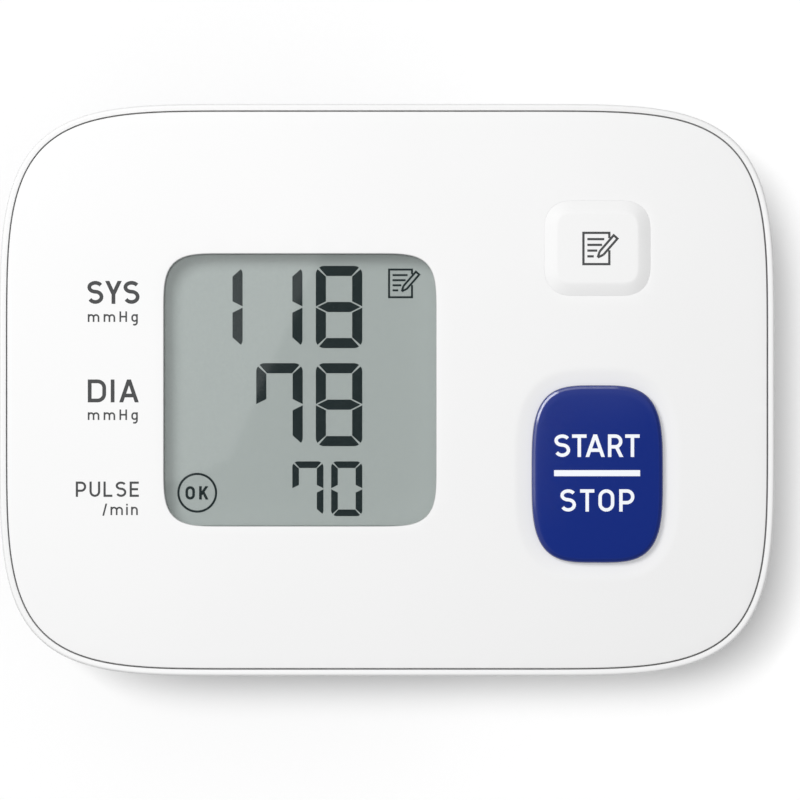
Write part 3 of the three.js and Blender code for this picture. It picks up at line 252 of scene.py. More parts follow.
# Places on the cuff, from the frame
binding_low, binding_high = node_box("cuff_binding")
flap_low, flap_high = node_box("cuff_flap")
hook_low, hook_high = node_box("hook_tape")
cuff_left, cuff_right = binding_low[0], binding_high[0]
cuff_middle = (cuff_left + cuff_right) / 2
cuff_half = (cuff_right - cuff_left) / 2

# Camera: the photograph's frame, with the object's middle a little left of and above the centre
PICTURE = 800
PIXELS_PER_MM = 9.232
OBJECT_PIXEL = np.array([387.0, 390.0])
LENS_LENGTH = 250.0
SENSOR = 36.0

# Studio: floor and flag in millimetres; the camera's reach and the place that the lamps aim at in metres
ROOM_LIGHT = 0.24
BRIGHT_SIDE = (-0.5, 0.6, 0.25)
FLOOR_GLOW = 0.19
FLOOR_REACH = 1500
FLOOR_HEIGHT = -0.2
CAMERA_REACH = 10.0
FLAG_HEIGHT = 972.0
FLAG_CORNERS = [(-17.3, 45), (-44.7, -17.1), (-130, -50), (-130, -400), (400, -400), (400, 45)]
FRONT = Vector((0.0, 0.0, 0.07))


# Shape tools: points closer than these, in millimetres, are one point
SEAM_TOLERANCE = 0.0015
FILL_TOLERANCE = 1e-6
INK_TOLERANCE = 1e-5


class Loop:
    """A closed outline, counterclockwise: its points and their outward normals."""

    def __init__(self, points, normals):
        self.points = points
        self.normals = normals

    def moved(self, inset):
        """The outline moved inwards along its normals."""
        return self.points - inset * self.normals

    def ring(self, inset, height):
        """The moved outline at a height, or at one height for each point."""
        return level(self.moved(inset), height)

    def rings(self, profile):
        """A ring for each inset and height of a profile."""
        return [self.ring(inset, height) for inset, height in profile]


def level(points, height):
    """Points of a plane lifted to a height."""
    return np.column_stack([points, np.broadcast_to(height, len(points))])


def quarter(first, second, steps):
    """Pairs along a hollow quarter of an ellipse, from (first, 0) to (0, second): first (1 - sin a) and
    second (1 - cos a), for an angle a from 0 to 90 degrees."""
    turn = np.linspace(0, np.pi / 2, steps)
    return np.column_stack([first * (1 - np.sin(turn)), second * (1 - np.cos(turn))])


def squircle(half, corner, power, count, centre=(0.0, 0.0), fine=4000):
    """Straight sides joined by corners |u|^power + |v|^power = 1: fine points of the outline, from which the
    wanted count is taken, spaced evenly along it."""
    half, corner = np.broadcast_to(half, 2), np.broadcast_to(corner, 2)
    angle = np.linspace(0, 2 * np.pi, fine, endpoint=False)
    way = np.column_stack([np.cos(angle), np.sin(angle)])
    reach = np.abs(way) ** (2 / power)
    points = np.sign(way) * (half - corner + corner * reach)
    normals = np.sign(way) * reach ** (power - 1) / corner
    data = np.column_stack([points, normals / np.linalg.norm(normals, axis=1, keepdims=True)])
    data = np.vstack([data, data[:1]])
    run = np.concatenate([[0], np.cumsum(np.linalg.norm(np.diff(data[:, :2], axis=0), axis=1))])
    spots = np.arange(count) * run[-1] / count
    even = np.column_stack([np.interp(spots, run, column) for column in data.T])
    normals = even[:, 2:] / np.linalg.norm(even[:, 2:], axis=1, keepdims=True)
    return Loop(even[:, :2] + np.asarray(centre), normals)


def circle(diameter, count, centre=(0.0, 0.0)):
    """A round outline."""
    return squircle(diameter / 2, diameter / 2, 2.0, count, centre)


def rounded(corners, radii, steps=9):
    """A polygon, counterclockwise, with an arc of its own radius at each corner."""
    corners = np.asarray(corners, float)
    radii = np.broadcast_to(np.asarray(radii, float), len(corners))[:, None]
    back = np.roll(corners, 1, axis=0) - corners
    ahead = np.roll(corners, -1, axis=0) - corners
    back = back / np.linalg.norm(back, axis=1, keepdims=True)
    ahead = ahead / np.linalg.norm(ahead, axis=1, keepdims=True)
    half = np.arccos((back * ahead).sum(axis=1, keepdims=True)) / 2
    bisector = (back + ahead) / np.linalg.norm(back + ahead, axis=1, keepdims=True)
    centre = corners + bisector * radii / np.sin(half)
    start = corners + back * radii / np.tan(half) - centre
    end = corners + ahead * radii / np.tan(half) - centre
    first = np.arctan2(start[:, 1], start[:, 0])[:, None]
    last = np.arctan2(end[:, 1], end[:, 0])[:, None]
    turn = (last - first + np.pi) % (2 * np.pi) - np.pi
    angle = first + turn * np.linspace(0, 1, steps)
    way = np.stack([np.cos(angle), np.sin(angle)], axis=-1)
    points = centre[:, None] + radii[:, None] * way
    normals = np.sign(turn)[..., None] * way
    return Loop(points.reshape(-1, 2), normals.reshape(-1, 2))


def inside(loop, points):
    """True for points within a closed outline, by counting the sides that a line from each point crosses."""
    a, b = loop, np.roll(loop, -1, axis=0)
    x, y = points[:, :1], points[:, 1:]
    crosses = (a[:, 1] > y) != (b[:, 1] > y)
    rise = np.where(b[:, 1] == a[:, 1], 1.0, b[:, 1] - a[:, 1])
    at = a[:, 0] + (y - a[:, 1]) * (b[:, 0] - a[:, 0]) / rise
    return (crosses & (x < at)).sum(axis=1) % 2 == 1


def distance(points, loop):
    """Distance from each point to the nearest point of an outline."""
    gaps = points[:, None, :] - loop[None, :, :]
    return np.sqrt((gaps ** 2).sum(axis=2).min(axis=1))


def filled(outer, holes=(), spots=None):
    """Points and triangles that fill an outline between its holes, by constrained Delaunay triangulation."""
    loops = [outer, *holes]
    starts = np.cumsum([0] + [len(loop) for loop in loops])
    edges = []
    for loop, start in zip(loops, starts):
        along = np.arange(len(loop))
        edges += (np.column_stack([along, np.roll(along, -1)]) + start).tolist()
    points = np.concatenate(loops if spots is None else loops + [spots])
    result = delaunay_2d_cdt(points.tolist(), edges, [], 0, FILL_TOLERANCE)
    corners = np.array([point[:] for point in result[0]])
    triangles = np.array(result[2])
    middle = corners[triangles].mean(axis=1)
    keep = inside(outer, middle)
    for hole in holes:
        keep &= ~inside(hole, middle)
    return corners, triangles[keep]


class Skin:
    """Gathers the faces of one piece, in millimetres."""

    def __init__(self):
        self.points = []
        self.faces = []
        self.flat = []
        self.count = 0

    def add(self, points, faces, flat=None):
        """Points with their faces, and with their place on the flat cloth where they have one."""
        points = np.asarray(points, float)
        self.points.append(points)
        self.faces += (np.asarray(faces) + self.count).tolist()
        self.flat.append(np.zeros((len(points), 2)) if flat is None else np.asarray(flat, float))
        self.count += len(points)
        return self

    def join(self, other):
        """Takes in another skin."""
        self.faces += [[corner + self.count for corner in face] for face in other.faces]
        self.points += other.points
        self.flat += other.flat
        self.count += other.count
        return self

    def rows(self, rows, around=True, flat=None):
        """Quads between rows of points, each row closed round itself or open."""
        rows = np.asarray(rows, float)
        height, width = rows.shape[:2]
        row = np.arange(height - 1)[:, None] * width
        first = np.arange(width if around else width - 1)[None, :]
        second = (first + 1) % width
        quads = np.stack([row + first, row + second, row + width + second, row + width + first], axis=-1)
        flat = None if flat is None else np.asarray(flat).reshape(-1, 2)
        return self.add(rows.reshape(-1, 3), quads.reshape(-1, 4), flat)

    def lid(self, ring):
        """One face over a ring."""
        return self.add(ring, [np.arange(len(ring))])

    def tower(self, rows):
        """Rows of points from bottom to top, closed at both ends."""
        return self.rows(rows).lid(rows[0]).lid(rows[-1])

    def fill(self, outer, holes, height, spots=None):
        """A face with holes, at a height or a height that follows the point."""
        corners, triangles = filled(outer, holes, spots)
        return self.add(level(corners, height(corners) if callable(height) else height), triangles)


def block(low, high):
    """A closed box between two corners."""
    x0, y0 = low[:2]
    x1, y1 = high[:2]
    base = np.array([[x0, y0], [x1, y0], [x1, y1], [x0, y1]])
    return Skin().tower([level(base, low[2]), level(base, high[2])])


def prism(loop, bottom, top, inset=0.0):
    """An outline carried straight up."""
    return Skin().tower([loop.ring(inset, bottom), loop.ring(inset, top)])


def turned(profile, count, centre):
    """Rows of a body of revolution about a line along Y: pairs of radius and place along it, turned
    round it."""
    profile = np.asarray(profile, float)
    angle = np.linspace(0, 2 * np.pi, count, endpoint=False)
    x = centre[0] + profile[:, :1] * np.cos(angle)
    z = centre[1] - profile[:, :1] * np.sin(angle)
    return np.stack([x, np.broadcast_to(profile[:, 1:], x.shape), z], axis=-1)


def mesh_of(name, skin):
    """A Blender mesh of a skin, in metres, with its seams' points merged and its faces turned outwards."""
    mesh = bpy.data.meshes.new(name)
    mesh.from_pydata(np.concatenate(skin.points) * MM, [], skin.faces)
    flat = np.concatenate(skin.flat)
    if flat.any():
        corners = np.zeros(len(mesh.loops), int)
        mesh.loops.foreach_get("vertex_index", corners)
        mesh.uv_layers.new(name="cloth").data.foreach_set("uv", flat[corners].ravel())
    work = bmesh.new()
    work.from_mesh(mesh)
    bmesh.ops.remove_doubles(work, verts=work.verts, dist=SEAM_TOLERANCE * MM)
    bmesh.ops.recalc_face_normals(work, faces=work.faces)
    work.to_mesh(mesh)
    work.free()
    return mesh


def object_of(name, mesh):
    """An object at the origin, in the scene."""
    made = bpy.data.objects.new(name, mesh)
    bpy.context.scene.collection.objects.link(made)
    return made


def carved(name, base, changes):
    """A mesh of the base skin after other closed skins are joined to it or cut out of it."""
    work = object_of(name, mesh_of(name, base))
    tools = []
    for operation, skin in changes:
        tools.append(object_of("tool", mesh_of("tool", skin)))
        change = work.modifiers.new(operation, "BOOLEAN")
        change.operation = operation
        change.solver = "EXACT"
        change.object = tools[-1]
    view = bpy.context.evaluated_depsgraph_get()
    mesh = bpy.data.meshes.new_from_object(work.evaluated_get(view))
    for used in [work, *tools]:
        bpy.data.objects.remove(used)
    return mesh


def piece(name, shape, finish, body=None, stands_for=(), sharp=30.0):
    """A finished piece of a skin or mesh: smooth but for edges past the sharp angle, riding on its body."""
    mesh = mesh_of(name, shape) if isinstance(shape, Skin) else shape
    mesh.name = name
    mesh.polygons.foreach_set("use_smooth", np.ones(len(mesh.polygons), bool))
    mesh.set_sharp_from_angle(angle=math.radians(sharp))
    mesh.materials.clear()
    mesh.materials.append(finish)
    made = object_of(name, mesh)
    if body:
        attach(made, body)
    if stands_for:
        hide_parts(*stands_for)
    return made


# Finishes: how far apart their colours drift and their patterns repeat, in millimetres
PLASTIC_DRIFT = 18.0
METAL_DRIFT = 3.0
CLOTH_DRIFT = 16.0
TRACK_PITCH = 9.0
MASK_GRAIN = 0.6
WIRE_PITCH = 0.3
SLEEVE_MOTTLES_PER_MM = 1.2
# A wave texture of scale 1 repeats every 2 pi / 20 of a metre
WAVE_PER_SCALE = 2 * math.pi / 20


def linear(hex_colour):
    """An sRGB hex colour as linear red, green, blue and alpha."""
    shares = np.array([int(hex_colour[i:i + 2], 16) for i in (1, 3, 5)]) / 255
    low, high = shares / 12.92, ((shares + 0.055) / 1.055) ** 2.4
    return (*np.where(shares <= 0.04045, low, high).tolist(), 1.0)


def per(millimetres):
    """Texture scale that repeats about once in this many millimetres."""
    return 1 / (millimetres * MM)


def node(tree, kind, sockets=None, out=0, **settings):
    """Adds a shader node with its settings and gives one of its outputs; a socket takes a value, or a link
    from another node's output."""
    made = tree.nodes.new("ShaderNode" + kind)
    for name, value in settings.items():
        setattr(made, name, value)
    fit_sockets(tree, made, sockets or {})
    return made.outputs[out]


def fit_sockets(tree, shader, sockets):
    """Sets or links the sockets of a node."""
    for name, value in sockets.items():
        if isinstance(value, bpy.types.NodeSocket):
            tree.links.new(value, shader.inputs[name])
        else:
            shader.inputs[name].default_value = value


def blank(name):
    """A new material, its nodes and its Principled shader."""
    made = bpy.data.materials.new(name)
    made.use_nodes = True
    return made, made.node_tree, made.node_tree.nodes["Principled BSDF"]


def plastic(name, hexes, roughness, grain, depth, gloss=0.5):
    """Moulded plastic: an even colour with a faint drift, and the fine grain of the mould in its sheen."""
    made, tree, shader = blank(name)
    dark, pale = map(linear, hexes)
    place = node(tree, "TexCoord", out="Object")
    fine = node(tree, "TexNoise", {"Vector": place, "Scale": per(grain), "Detail": 2.0})
    drift = node(tree, "TexNoise", {"Vector": place, "Scale": per(PLASTIC_DRIFT), "Detail": 1.0})
    sheen = {"Value": fine, "To Min": roughness - 0.04, "To Max": roughness + 0.04}
    fit_sockets(tree, shader, {
        "Base Color": node(tree, "Mix", {0: drift, 6: dark, 7: pale}, 2, data_type="RGBA"),
        "Roughness": node(tree, "MapRange", sheen),
        "Normal": node(tree, "Bump", {"Height": fine, "Distance": depth * MM}),
        "IOR": 1.53,
        "Specular IOR Level": gloss,
    })
    return made


def metal(name, hexes, roughness, grain, depth):
    """Plated or rolled metal: a bright mirror broken by fine drawing marks."""
    made, tree, shader = blank(name)
    dark, pale = map(linear, hexes)
    place = node(tree, "TexCoord", out="Object")
    fine = node(tree, "TexNoise", {"Vector": place, "Scale": per(grain), "Detail": 4.0})
    drift = node(tree, "TexNoise", {"Vector": place, "Scale": per(METAL_DRIFT), "Detail": 1.0})
    sheen = {"Value": fine, "To Min": roughness - 0.06, "To Max": roughness + 0.08}
    fit_sockets(tree, shader, {
        "Base Color": node(tree, "Mix", {0: drift, 6: dark, 7: pale}, 2, data_type="RGBA"),
        "Metallic": 1.0,
        "Roughness": node(tree, "MapRange", sheen),
        "Normal": node(tree, "Bump", {"Height": fine, "Distance": depth * MM}),
    })
    return made


def clear_acrylic():
    """Polished acrylic of the display window: clear, with a clean gloss; lamps shine through it."""
    made, tree, shader = blank("polished_clear_acrylic")
    fit_sockets(tree, shader, {
        "Base Color": linear("#fafcfc"),
        "Transmission Weight": 1.0,
        "Roughness": 0.02,
        "IOR": 1.49,
    })
    shade = node(tree, "LightPath", out="Is Shadow Ray")
    mix = node(tree, "MixShader", {0: shade, 1: shader.outputs[0], 2: node(tree, "BsdfTransparent")})
    fit_sockets(tree, tree.nodes["Material Output"], {"Surface": mix})
    return made


def film_finish(name, hexes, roughness, grain, depth=0.0):
    """Printed ink, liquid crystal, a display's rear film or sewing thread: even and slightly mottled."""
    made, tree, shader = blank(name)
    dark, pale = map(linear, hexes)
    place = node(tree, "TexCoord", out="Object")
    fine = node(tree, "TexNoise", {"Vector": place, "Scale": per(grain), "Detail": 3.0})
    sheen = {"Value": fine, "To Min": roughness - 0.05, "To Max": roughness + 0.05}
    fit_sockets(tree, shader, {
        "Base Color": node(tree, "Mix", {0: fine, 6: dark, 7: pale}, 2, data_type="RGBA"),
        "Roughness": node(tree, "MapRange", sheen),
        "Normal": node(tree, "Bump", {"Height": fine, "Distance": depth * MM}),
        "IOR": 1.5,
        "Specular IOR Level": 0.3,
    })
    return made


def cloth(name, hexes, pitch, depth, fibre, sheen, ribbed=False):
    """Woven or knitted cloth: a wave along each of the cloth's directions at its thread pitch, their product
    broken by a fuzz of fibres, with a soft sheen. Ribbed cloth shows only the threads that lie across it. Its
    UV map is in millimetres of the flat cloth."""
    made, tree, shader = blank(name)
    dark, pale = map(linear, hexes)
    flat = node(tree, "UVMap", uv_map="cloth")
    axes = node(tree, "SeparateXYZ", {0: flat}).node
    waves = []
    for axis in "XY":
        turns = node(tree, "Math", {0: axes.outputs[axis], 1: 2 * math.pi / pitch}, operation="MULTIPLY")
        waves.append(node(tree, "Math", {0: turns}, operation="SINE"))
    weave = waves[0] if ribbed else node(tree, "Math", {0: waves[0], 1: waves[1]}, operation="MULTIPLY")
    height = node(tree, "Math", {0: weave, 1: 0.5, 2: 0.5}, operation="MULTIPLY_ADD")
    fuzz = node(tree, "TexNoise", {"Vector": flat, "Scale": 1 / fibre, "Detail": 4.0, "Roughness": 0.7})
    drift = node(tree, "TexNoise", {"Vector": flat, "Scale": 1 / CLOTH_DRIFT, "Detail": 1.0})
    body = node(tree, "Math", {0: height, 1: 0.6, 2: fuzz}, operation="MULTIPLY_ADD")
    tone = node(tree, "Math", {0: drift, 1: 0.6, 2: body}, operation="MULTIPLY_ADD")
    share = node(tree, "MapRange", {"Value": tone, "From Min": 0.5, "From Max": 1.7})
    fit_sockets(tree, shader, {
        "Base Color": node(tree, "Mix", {0: share, 6: dark, 7: pale}, 2, data_type="RGBA"),
        "Roughness": node(tree, "MapRange", {"Value": fuzz, "To Min": 0.82, "To Max": 0.98}),
        "Normal": node(tree, "Bump", {"Height": body, "Distance": depth * MM}),
        "Sheen Weight": sheen,
        "Sheen Roughness": 0.45,
        "Specular IOR Level": 0.2,
    })
    return made


def circuit_board():
    """Glass-epoxy board under green solder mask, with copper tracks showing as paler lines."""
    made, tree, shader = blank("solder_masked_board")
    place = node(tree, "TexCoord", out="Object")
    tracks = node(tree, "TexBrick", {
        "Vector": place, "Scale": per(TRACK_PITCH), "Mortar Size": 0.03, "Color1": linear("#1c5236"),
        "Color2": linear("#1f5a3a"), "Mortar": linear("#3c8a58"),
    }).node
    fine = node(tree, "TexNoise", {"Vector": place, "Scale": per(MASK_GRAIN)})
    fit_sockets(tree, shader, {
        "Base Color": tracks.outputs["Color"],
        "Roughness": node(tree, "MapRange", {"Value": fine, "To Min": 0.3, "To Max": 0.45}),
        "Normal": node(tree, "Bump", {"Height": tracks.outputs["Fac"], "Distance": 0.03 * MM}),
    })
    return made


def wound_copper():
    """Enamelled copper wire wound on a bobbin: fine parallel turns across its axis."""
    made, tree, shader = blank("wound_enamelled_copper")
    place = node(tree, "TexCoord", out="Object")
    scale = per(WIRE_PITCH) * WAVE_PER_SCALE
    turns = node(tree, "TexWave", {"Vector": place, "Scale": scale}, "Fac", bands_direction="Y")
    dark, pale = linear("#7d3f1f"), linear("#b8703f")
    fit_sockets(tree, shader, {
        "Base Color": node(tree, "Mix", {0: turns, 6: dark, 7: pale}, 2, data_type="RGBA"),
        "Metallic": 0.8,
        "Roughness": node(tree, "MapRange", {"Value": turns, "To Min": 0.4, "To Max": 0.28}),
        "Normal": node(tree, "Bump", {"Height": turns, "Distance": 0.08 * MM}),
    })
    return made


def cell_wrap():
    """Shrink-wrapped foil sleeve of a cell: slate grey, with a pale band at the end of its nub."""
    made, tree, shader = blank("printed_cell_sleeve")
    flat = node(tree, "UVMap", uv_map="cloth")
    along = node(tree, "SeparateXYZ", {0: flat}, "Y")
    fine = node(tree, "TexNoise", {"Vector": flat, "Scale": SLEEVE_MOTTLES_PER_MM})
    band = node(tree, "Math", {0: along, 1: SLEEVE_BAND}, operation="GREATER_THAN")
    slate, pale = linear("#343a42"), linear("#aeb4ba")
    fit_sockets(tree, shader, {
        "Base Color": node(tree, "Mix", {0: band, 6: slate, 7: pale}, 2, data_type="RGBA"),
        "Roughness": node(tree, "MapRange", {"Value": fine, "To Min": 0.24, "To Max": 0.34}),
        "Coat Weight": 0.3,
        "Coat Roughness": 0.1,
    })
    return made


# Plastic, metal and film take a roughness, and their grain's size and depth in millimetres. Cloth takes its
# thread pitch, thread depth and fibre size in millimetres, and a sheen.
WHITE = plastic("moulded_white_abs", ("#f1f1f1", "#f3f3f3"), 0.38, 0.35, 0.0015, gloss=0.35)
BLUE = plastic("glossy_blue_abs", ("#182d7c", "#1a2f82"), 0.15, 0.5, 0.0006)
ACRYLIC = clear_acrylic()
LCD = film_finish("reflective_lcd_film", ("#b5bcba", "#bfc6c3"), 0.46, 0.3, 0.002)
SEGMENT = film_finish("liquid_crystal", ("#273031", "#2d3637"), 0.45, 0.4)
GREY_INK = film_finish("grey_pad_print", ("#494a4b", "#4f5051"), 0.5, 0.4)
PALE_INK = film_finish("pale_pad_print", ("#f2f6fd", "#f8fbff"), 0.4, 0.4)
# Threads are drawn about twice as coarse as in the real cloth, so that they show
LOOP_NYLON = cloth("charcoal_loop_nylon", ("#25282c", "#55595f"), 0.9, 0.12, 0.5, 0.3)
TRICOT = cloth("grey_brushed_tricot", ("#8a8f95", "#b4b8bd"), 0.8, 0.06, 0.6, 0.2)
GROSGRAIN = cloth("black_grosgrain_tape", ("#151719", "#393c41"), 0.75, 0.1, 0.5, 0.1, ribbed=True)
THREAD = film_finish("grey_sewing_thread", ("#5f646b", "#7b8088"), 0.7, 0.4, 0.02)
HOOK_NYLON = plastic("black_hook_nylon", ("#17181a", "#222427"), 0.45, 0.4, 0.004)
BLACK = plastic("black_moulded_epoxy", ("#191b1d", "#222426"), 0.5, 0.25, 0.004)
GREY = plastic("grey_moulded_nylon", ("#83878a", "#8f9396"), 0.48, 0.3, 0.003)
STEEL = metal("zinc_plated_steel", ("#a9adb1", "#bfc2c4"), 0.32, 0.25, 0.003)
NICKEL = metal("nickel_plated_spring_steel", ("#bdb9b0", "#d0ccc3"), 0.22, 0.2, 0.002)
RUBBER = plastic("carbon_loaded_rubber", ("#232527", "#2d2f31"), 0.78, 0.3, 0.008)
SILICONE = plastic("milky_silicone", ("#ccd0cb", "#dadeda"), 0.5, 0.8, 0.004)
BOARD = circuit_board()
COPPER = wound_copper()
CELL_SLEEVE = cell_wrap()

slot_finish = {
    "white_plastic": WHITE, "blue_plastic": BLUE, "clear_lens": ACRYLIC, "lcd": LCD,
    "black_rubber": RUBBER, "black_plastic": BLACK, "grey_plastic": GREY, "circuit_board": BOARD,
    "steel": STEEL, "nickel": NICKEL, "copper_winding": COPPER, "cell_wrap": CELL_SLEEVE,
    "silicone": SILICONE, "cuff_fabric": LOOP_NYLON, "lining_fabric": TRICOT, "binding_fabric": GROSGRAIN,
}
for row in frame["record"]["subparts"]:
    carried = frame["nodes"][row["node"]]
    carried.data.materials.clear()
    carried.data.materials.append(slot_finish[row["material_slot"]])


# Outlines of the case's front
CASE = squircle(CASE_HALF, CASE_CORNER, CASE_POWER, 420)
WINDOW = squircle(window_half - WINDOW_INSET, WINDOW_CORNER, WINDOW_POWER, 200, window_centre)
START = squircle(start_half, start_half, START_KEY_POWER, 220, start_centre)
MEMORY = squircle(memory_half, MEMORY_KEY_CORNER, MEMORY_KEY_POWER, 160, memory_centre)


def crown(points):
    """Height of the panel's face: highest in the middle, falling with the square of the way to its edge."""
    reach = (np.abs(points / CASE_HALF) ** CASE_POWER).sum(axis=1) ** (2 / CASE_POWER)
    return panel_front - PANEL_CROWN * np.minimum(1, reach)


def face(points):
    """Height of the panel's face with the dish round the start key: a cone that falls to the key's edge,
    rounded where it meets the panel."""
    outside = ~inside(START.points, points)
    way = np.where(outside, distance(points, START.points), 0.0) / DISH_WIDTH
    slope = 1 - way
    depth = (slope + np.sqrt(slope ** 2 + DISH_EASE)) / 2
    return crown(points) - DISH_DEPTH * depth


start_face = crown(start_centre[None])[0]
memory_face = crown(memory_centre[None])[0]


def spots_between(outer, holes, pitch, margin):
    """Points of an even grid within an outline, clear of it and of the holes by a margin."""
    low, high = outer.min(axis=0), outer.max(axis=0)
    x, y = np.meshgrid(np.arange(low[0], high[0], pitch), np.arange(low[1], high[1], pitch))
    grid = np.column_stack([x.ravel(), y.ravel()])
    keep = inside(outer, grid)
    for loop in [outer, *holes]:
        keep &= distance(grid, loop) > margin
    for hole in holes:
        keep &= ~inside(hole, grid)
    return grid[keep]


def front_cover():
    """Crowned panel with a rounded edge, its three openings and the skirt that locates it in the case."""
    edge = RIM_WIDTH + PARTING_GAP
    outer = CASE.moved(edge + PANEL_EDGE_ROUND)
    openings = [
        (WINDOW, 0.0, WINDOW_EDGE_ROUND),
        (START, START_KEY_GAP, KEY_HOLE_ROUND),
        (MEMORY, MEMORY_KEY_GAP, MEMORY_KEY_GAP),
    ]
    holes = [loop.moved(-gap - roundness) for loop, gap, roundness in openings]
    dish = [START.moved(-DISH_WIDTH * share) for share in np.linspace(*DISH_RINGS, 9)]
    rest = spots_between(outer, [holes[0], dish[-1], holes[2]], PANEL_GRID, PANEL_GRID_MARGIN)
    skin = Skin().fill(outer, holes, face, np.concatenate([*dish, rest]))
    bottom_holes = [loop.moved(-gap) for loop, gap, _ in openings]
    skin.fill(CASE.moved(edge), bottom_holes, panel_back)
    top = face(outer)
    roll = [(edge + inset, top - fall) for inset, fall in quarter(PANEL_EDGE_ROUND, PANEL_EDGE_ROUND, 6)]
    skin.rows(CASE.rings([*roll, (edge, panel_back)]))
    for (loop, gap, roundness), hole in zip(openings, holes):
        top = face(hole)
        roll = [(-gap - inset, top - fall) for inset, fall in quarter(roundness, roundness, 6)]
        skin.rows(loop.rings([*roll, (-gap, panel_back)]))
    outside, within = SKIRT
    skirt_end = panel_back - SKIRT_DEPTH
    corners = [(outside, panel_back), (outside, skirt_end), (within, skirt_end), (within, panel_back)]
    skin.rows(CASE.rings([*corners, corners[0]]))
    return piece("front_cover_panel", skin, WHITE, "monitor", ["front_cover"])


def rear_edge(share):
    """How far the rear edge's curve lies in at a share of its height: a superelliptic quarter."""
    return 1 - (1 - (1 - share) ** REAR_EDGE_POWER) ** (1 / REAR_EDGE_POWER)


def door_loop(spare=0.0):
    """Outline of the battery cover with its latch tab, larger by a spare all round."""
    x0, y0 = door_low[:2] - spare
    x1, y1 = door_high[:2] + spare
    middle, half = (x0 + x1) / 2, LATCH_WIDTH / 2 + spare
    tip = y1 + LATCH_REACH
    corners = [(x1, y0), (x1, y1), (middle + half, y1), (middle + half, tip), (middle - half, tip),
               (middle - half, y1), (x0, y1), (x0, y0)]
    radius = DOOR_CORNER + spare
    small = LATCH_CORNER / 2
    return rounded(corners, [radius, radius, small, LATCH_CORNER, LATCH_CORNER, small, radius, radius])


def rear_case():
    """A tray: its profile of rolled rear edge, side, beaded rim, parting groove, rebate and inner wall,
    carried round the case; then the cells' bay joined in and the openings cut. The bead falls towards the
    groove with the square of the way, and the groove is deep enough to read as a dark line."""
    share = np.linspace(0, 1, 22) ** REAR_EDGE_CROWDING
    side = np.column_stack([REAR_EDGE_INSET * rear_edge(share), rear_z + REAR_EDGE_HEIGHT * share])
    roll = quarter(RIM_ROUND, RIM_ROLL, 10)[:, ::-1] * [1, -1] + [0, rim_top]
    way = np.linspace(0.2, 1, 5)
    bead_width = RIM_WIDTH - RIM_LIP - RIM_ROLL
    bead = np.column_stack([RIM_ROLL + bead_width * way, rim_top - RIM_SLOPE * way ** 2])
    lip = np.array([RIM_WIDTH, rim_top - RIM_SLOPE]) - quarter(RIM_LIP, RIM_LIP, 4)[1:]
    ledge = panel_back - SEAT_PLAY
    far, deep = RIM_WIDTH + PARTING_GAP, ledge - PARTING_DEPTH
    rebate = np.array([[RIM_WIDTH, deep], [far, deep], [far, ledge], [CASE_WALL, ledge]])
    back = share[::-1]
    inner = np.column_stack([
        CASE_WALL + (REAR_EDGE_INSET - CASE_WALL) * rear_edge(back),
        rear_z + CASE_FLOOR + (REAR_EDGE_HEIGHT - CASE_FLOOR) * back,
    ])
    profile = np.concatenate([side, roll, bead, lip, rebate, inner])
    shell = Skin().tower(CASE.rings(profile))

    bay_end = node_box("contact_tab_1")[0][1] - DOOR_FIT
    cell_top = node_box("cell_1")[1][2]
    bay_low = np.array([door_low[0] + DOOR_LIP, bay_end, rear_z + DOOR_PLATE])
    bay_high = np.array([door_high[0] - DOOR_LIP, -bay_end, cell_top + CELL_PLAY])
    foot = rear_z + CASE_FLOOR - BAY_SINK
    walls = block([*(bay_low - BAY_WALL)[:2], foot], [*(bay_high + BAY_WALL)[:2], bay_high[2] + BAY_ROOF])
    below = rear_z - CUT_SPARE
    cutters = prism(door_loop(DOOR_FIT), below, rear_z + DOOR_PLATE + DOOR_FIT)
    for index in range(CASE_SCREWS):
        low, high = node_box(f"case_screw_{index + 1}")
        seat = circle((high - low)[0] + SCREW_PLAY, 48, (low + high)[:2] / 2)
        cutters.join(prism(seat, below, low[2] + SCREW_SEAT))
    changes = [("UNION", walls), ("DIFFERENCE", cutters), ("DIFFERENCE", block(bay_low, bay_high))]
    mesh = carved("rear_case", shell, changes)
    return piece("rear_case_shell", mesh, WHITE, "monitor", ["rear_case"])


def display_lens():
    """Clear plate: a wide flange behind the panel and a step that stands in its window."""
    low, high = lens_low[2], lens_high[2]
    flange = -LENS_FLANGE_WIDTH - WINDOW_INSET
    profile = [(flange, low), (flange, low + LENS_FLANGE), (LENS_FIT, low + LENS_FLANGE),
               (LENS_FIT, high - LENS_EDGE), (LENS_FIT + LENS_EDGE, high)]
    skin = Skin().tower(WINDOW.rings(profile))
    return piece("display_window", skin, ACRYLIC, "monitor", ["display_lens"])


def start_edge():
    """Profile of the start key's edge, as insets and heights over the shoulder: the sum of short steps whose
    tilt eases from the upright side to a narrow chamfer, and from that into the top."""
    turns = np.concatenate([[0], np.cumsum(START_EDGE_WAYS)])
    way = np.linspace(0, turns[-1], 30)
    tilt = np.radians(np.interp((way[1:] + way[:-1]) / 2, turns, START_EDGE_TILTS))
    steps = np.diff(way)[:, None] * np.column_stack([np.cos(tilt), np.sin(tilt)])
    return np.concatenate([np.zeros((1, 2)), np.cumsum(steps, axis=0)])


START_EDGE = start_edge()
START_RIM = START.moved(START_EDGE[-1, 0]) - start_centre


def start_top(points):
    """Height of the start key's crowned top: it falls with a power of the way to its edge."""
    half = np.abs(START_RIM).max(axis=0)
    reach = (np.abs((points - start_centre) / half) ** START_KEY_POWER).sum(axis=1)
    way = reach ** (START_KEY_CROWN / START_KEY_POWER)
    top = start_face + START_KEY_RISE
    fall = START_KEY_RISE - START_KEY_SHOULDER - START_EDGE[-1, 1]
    return top - fall * np.minimum(1, way)


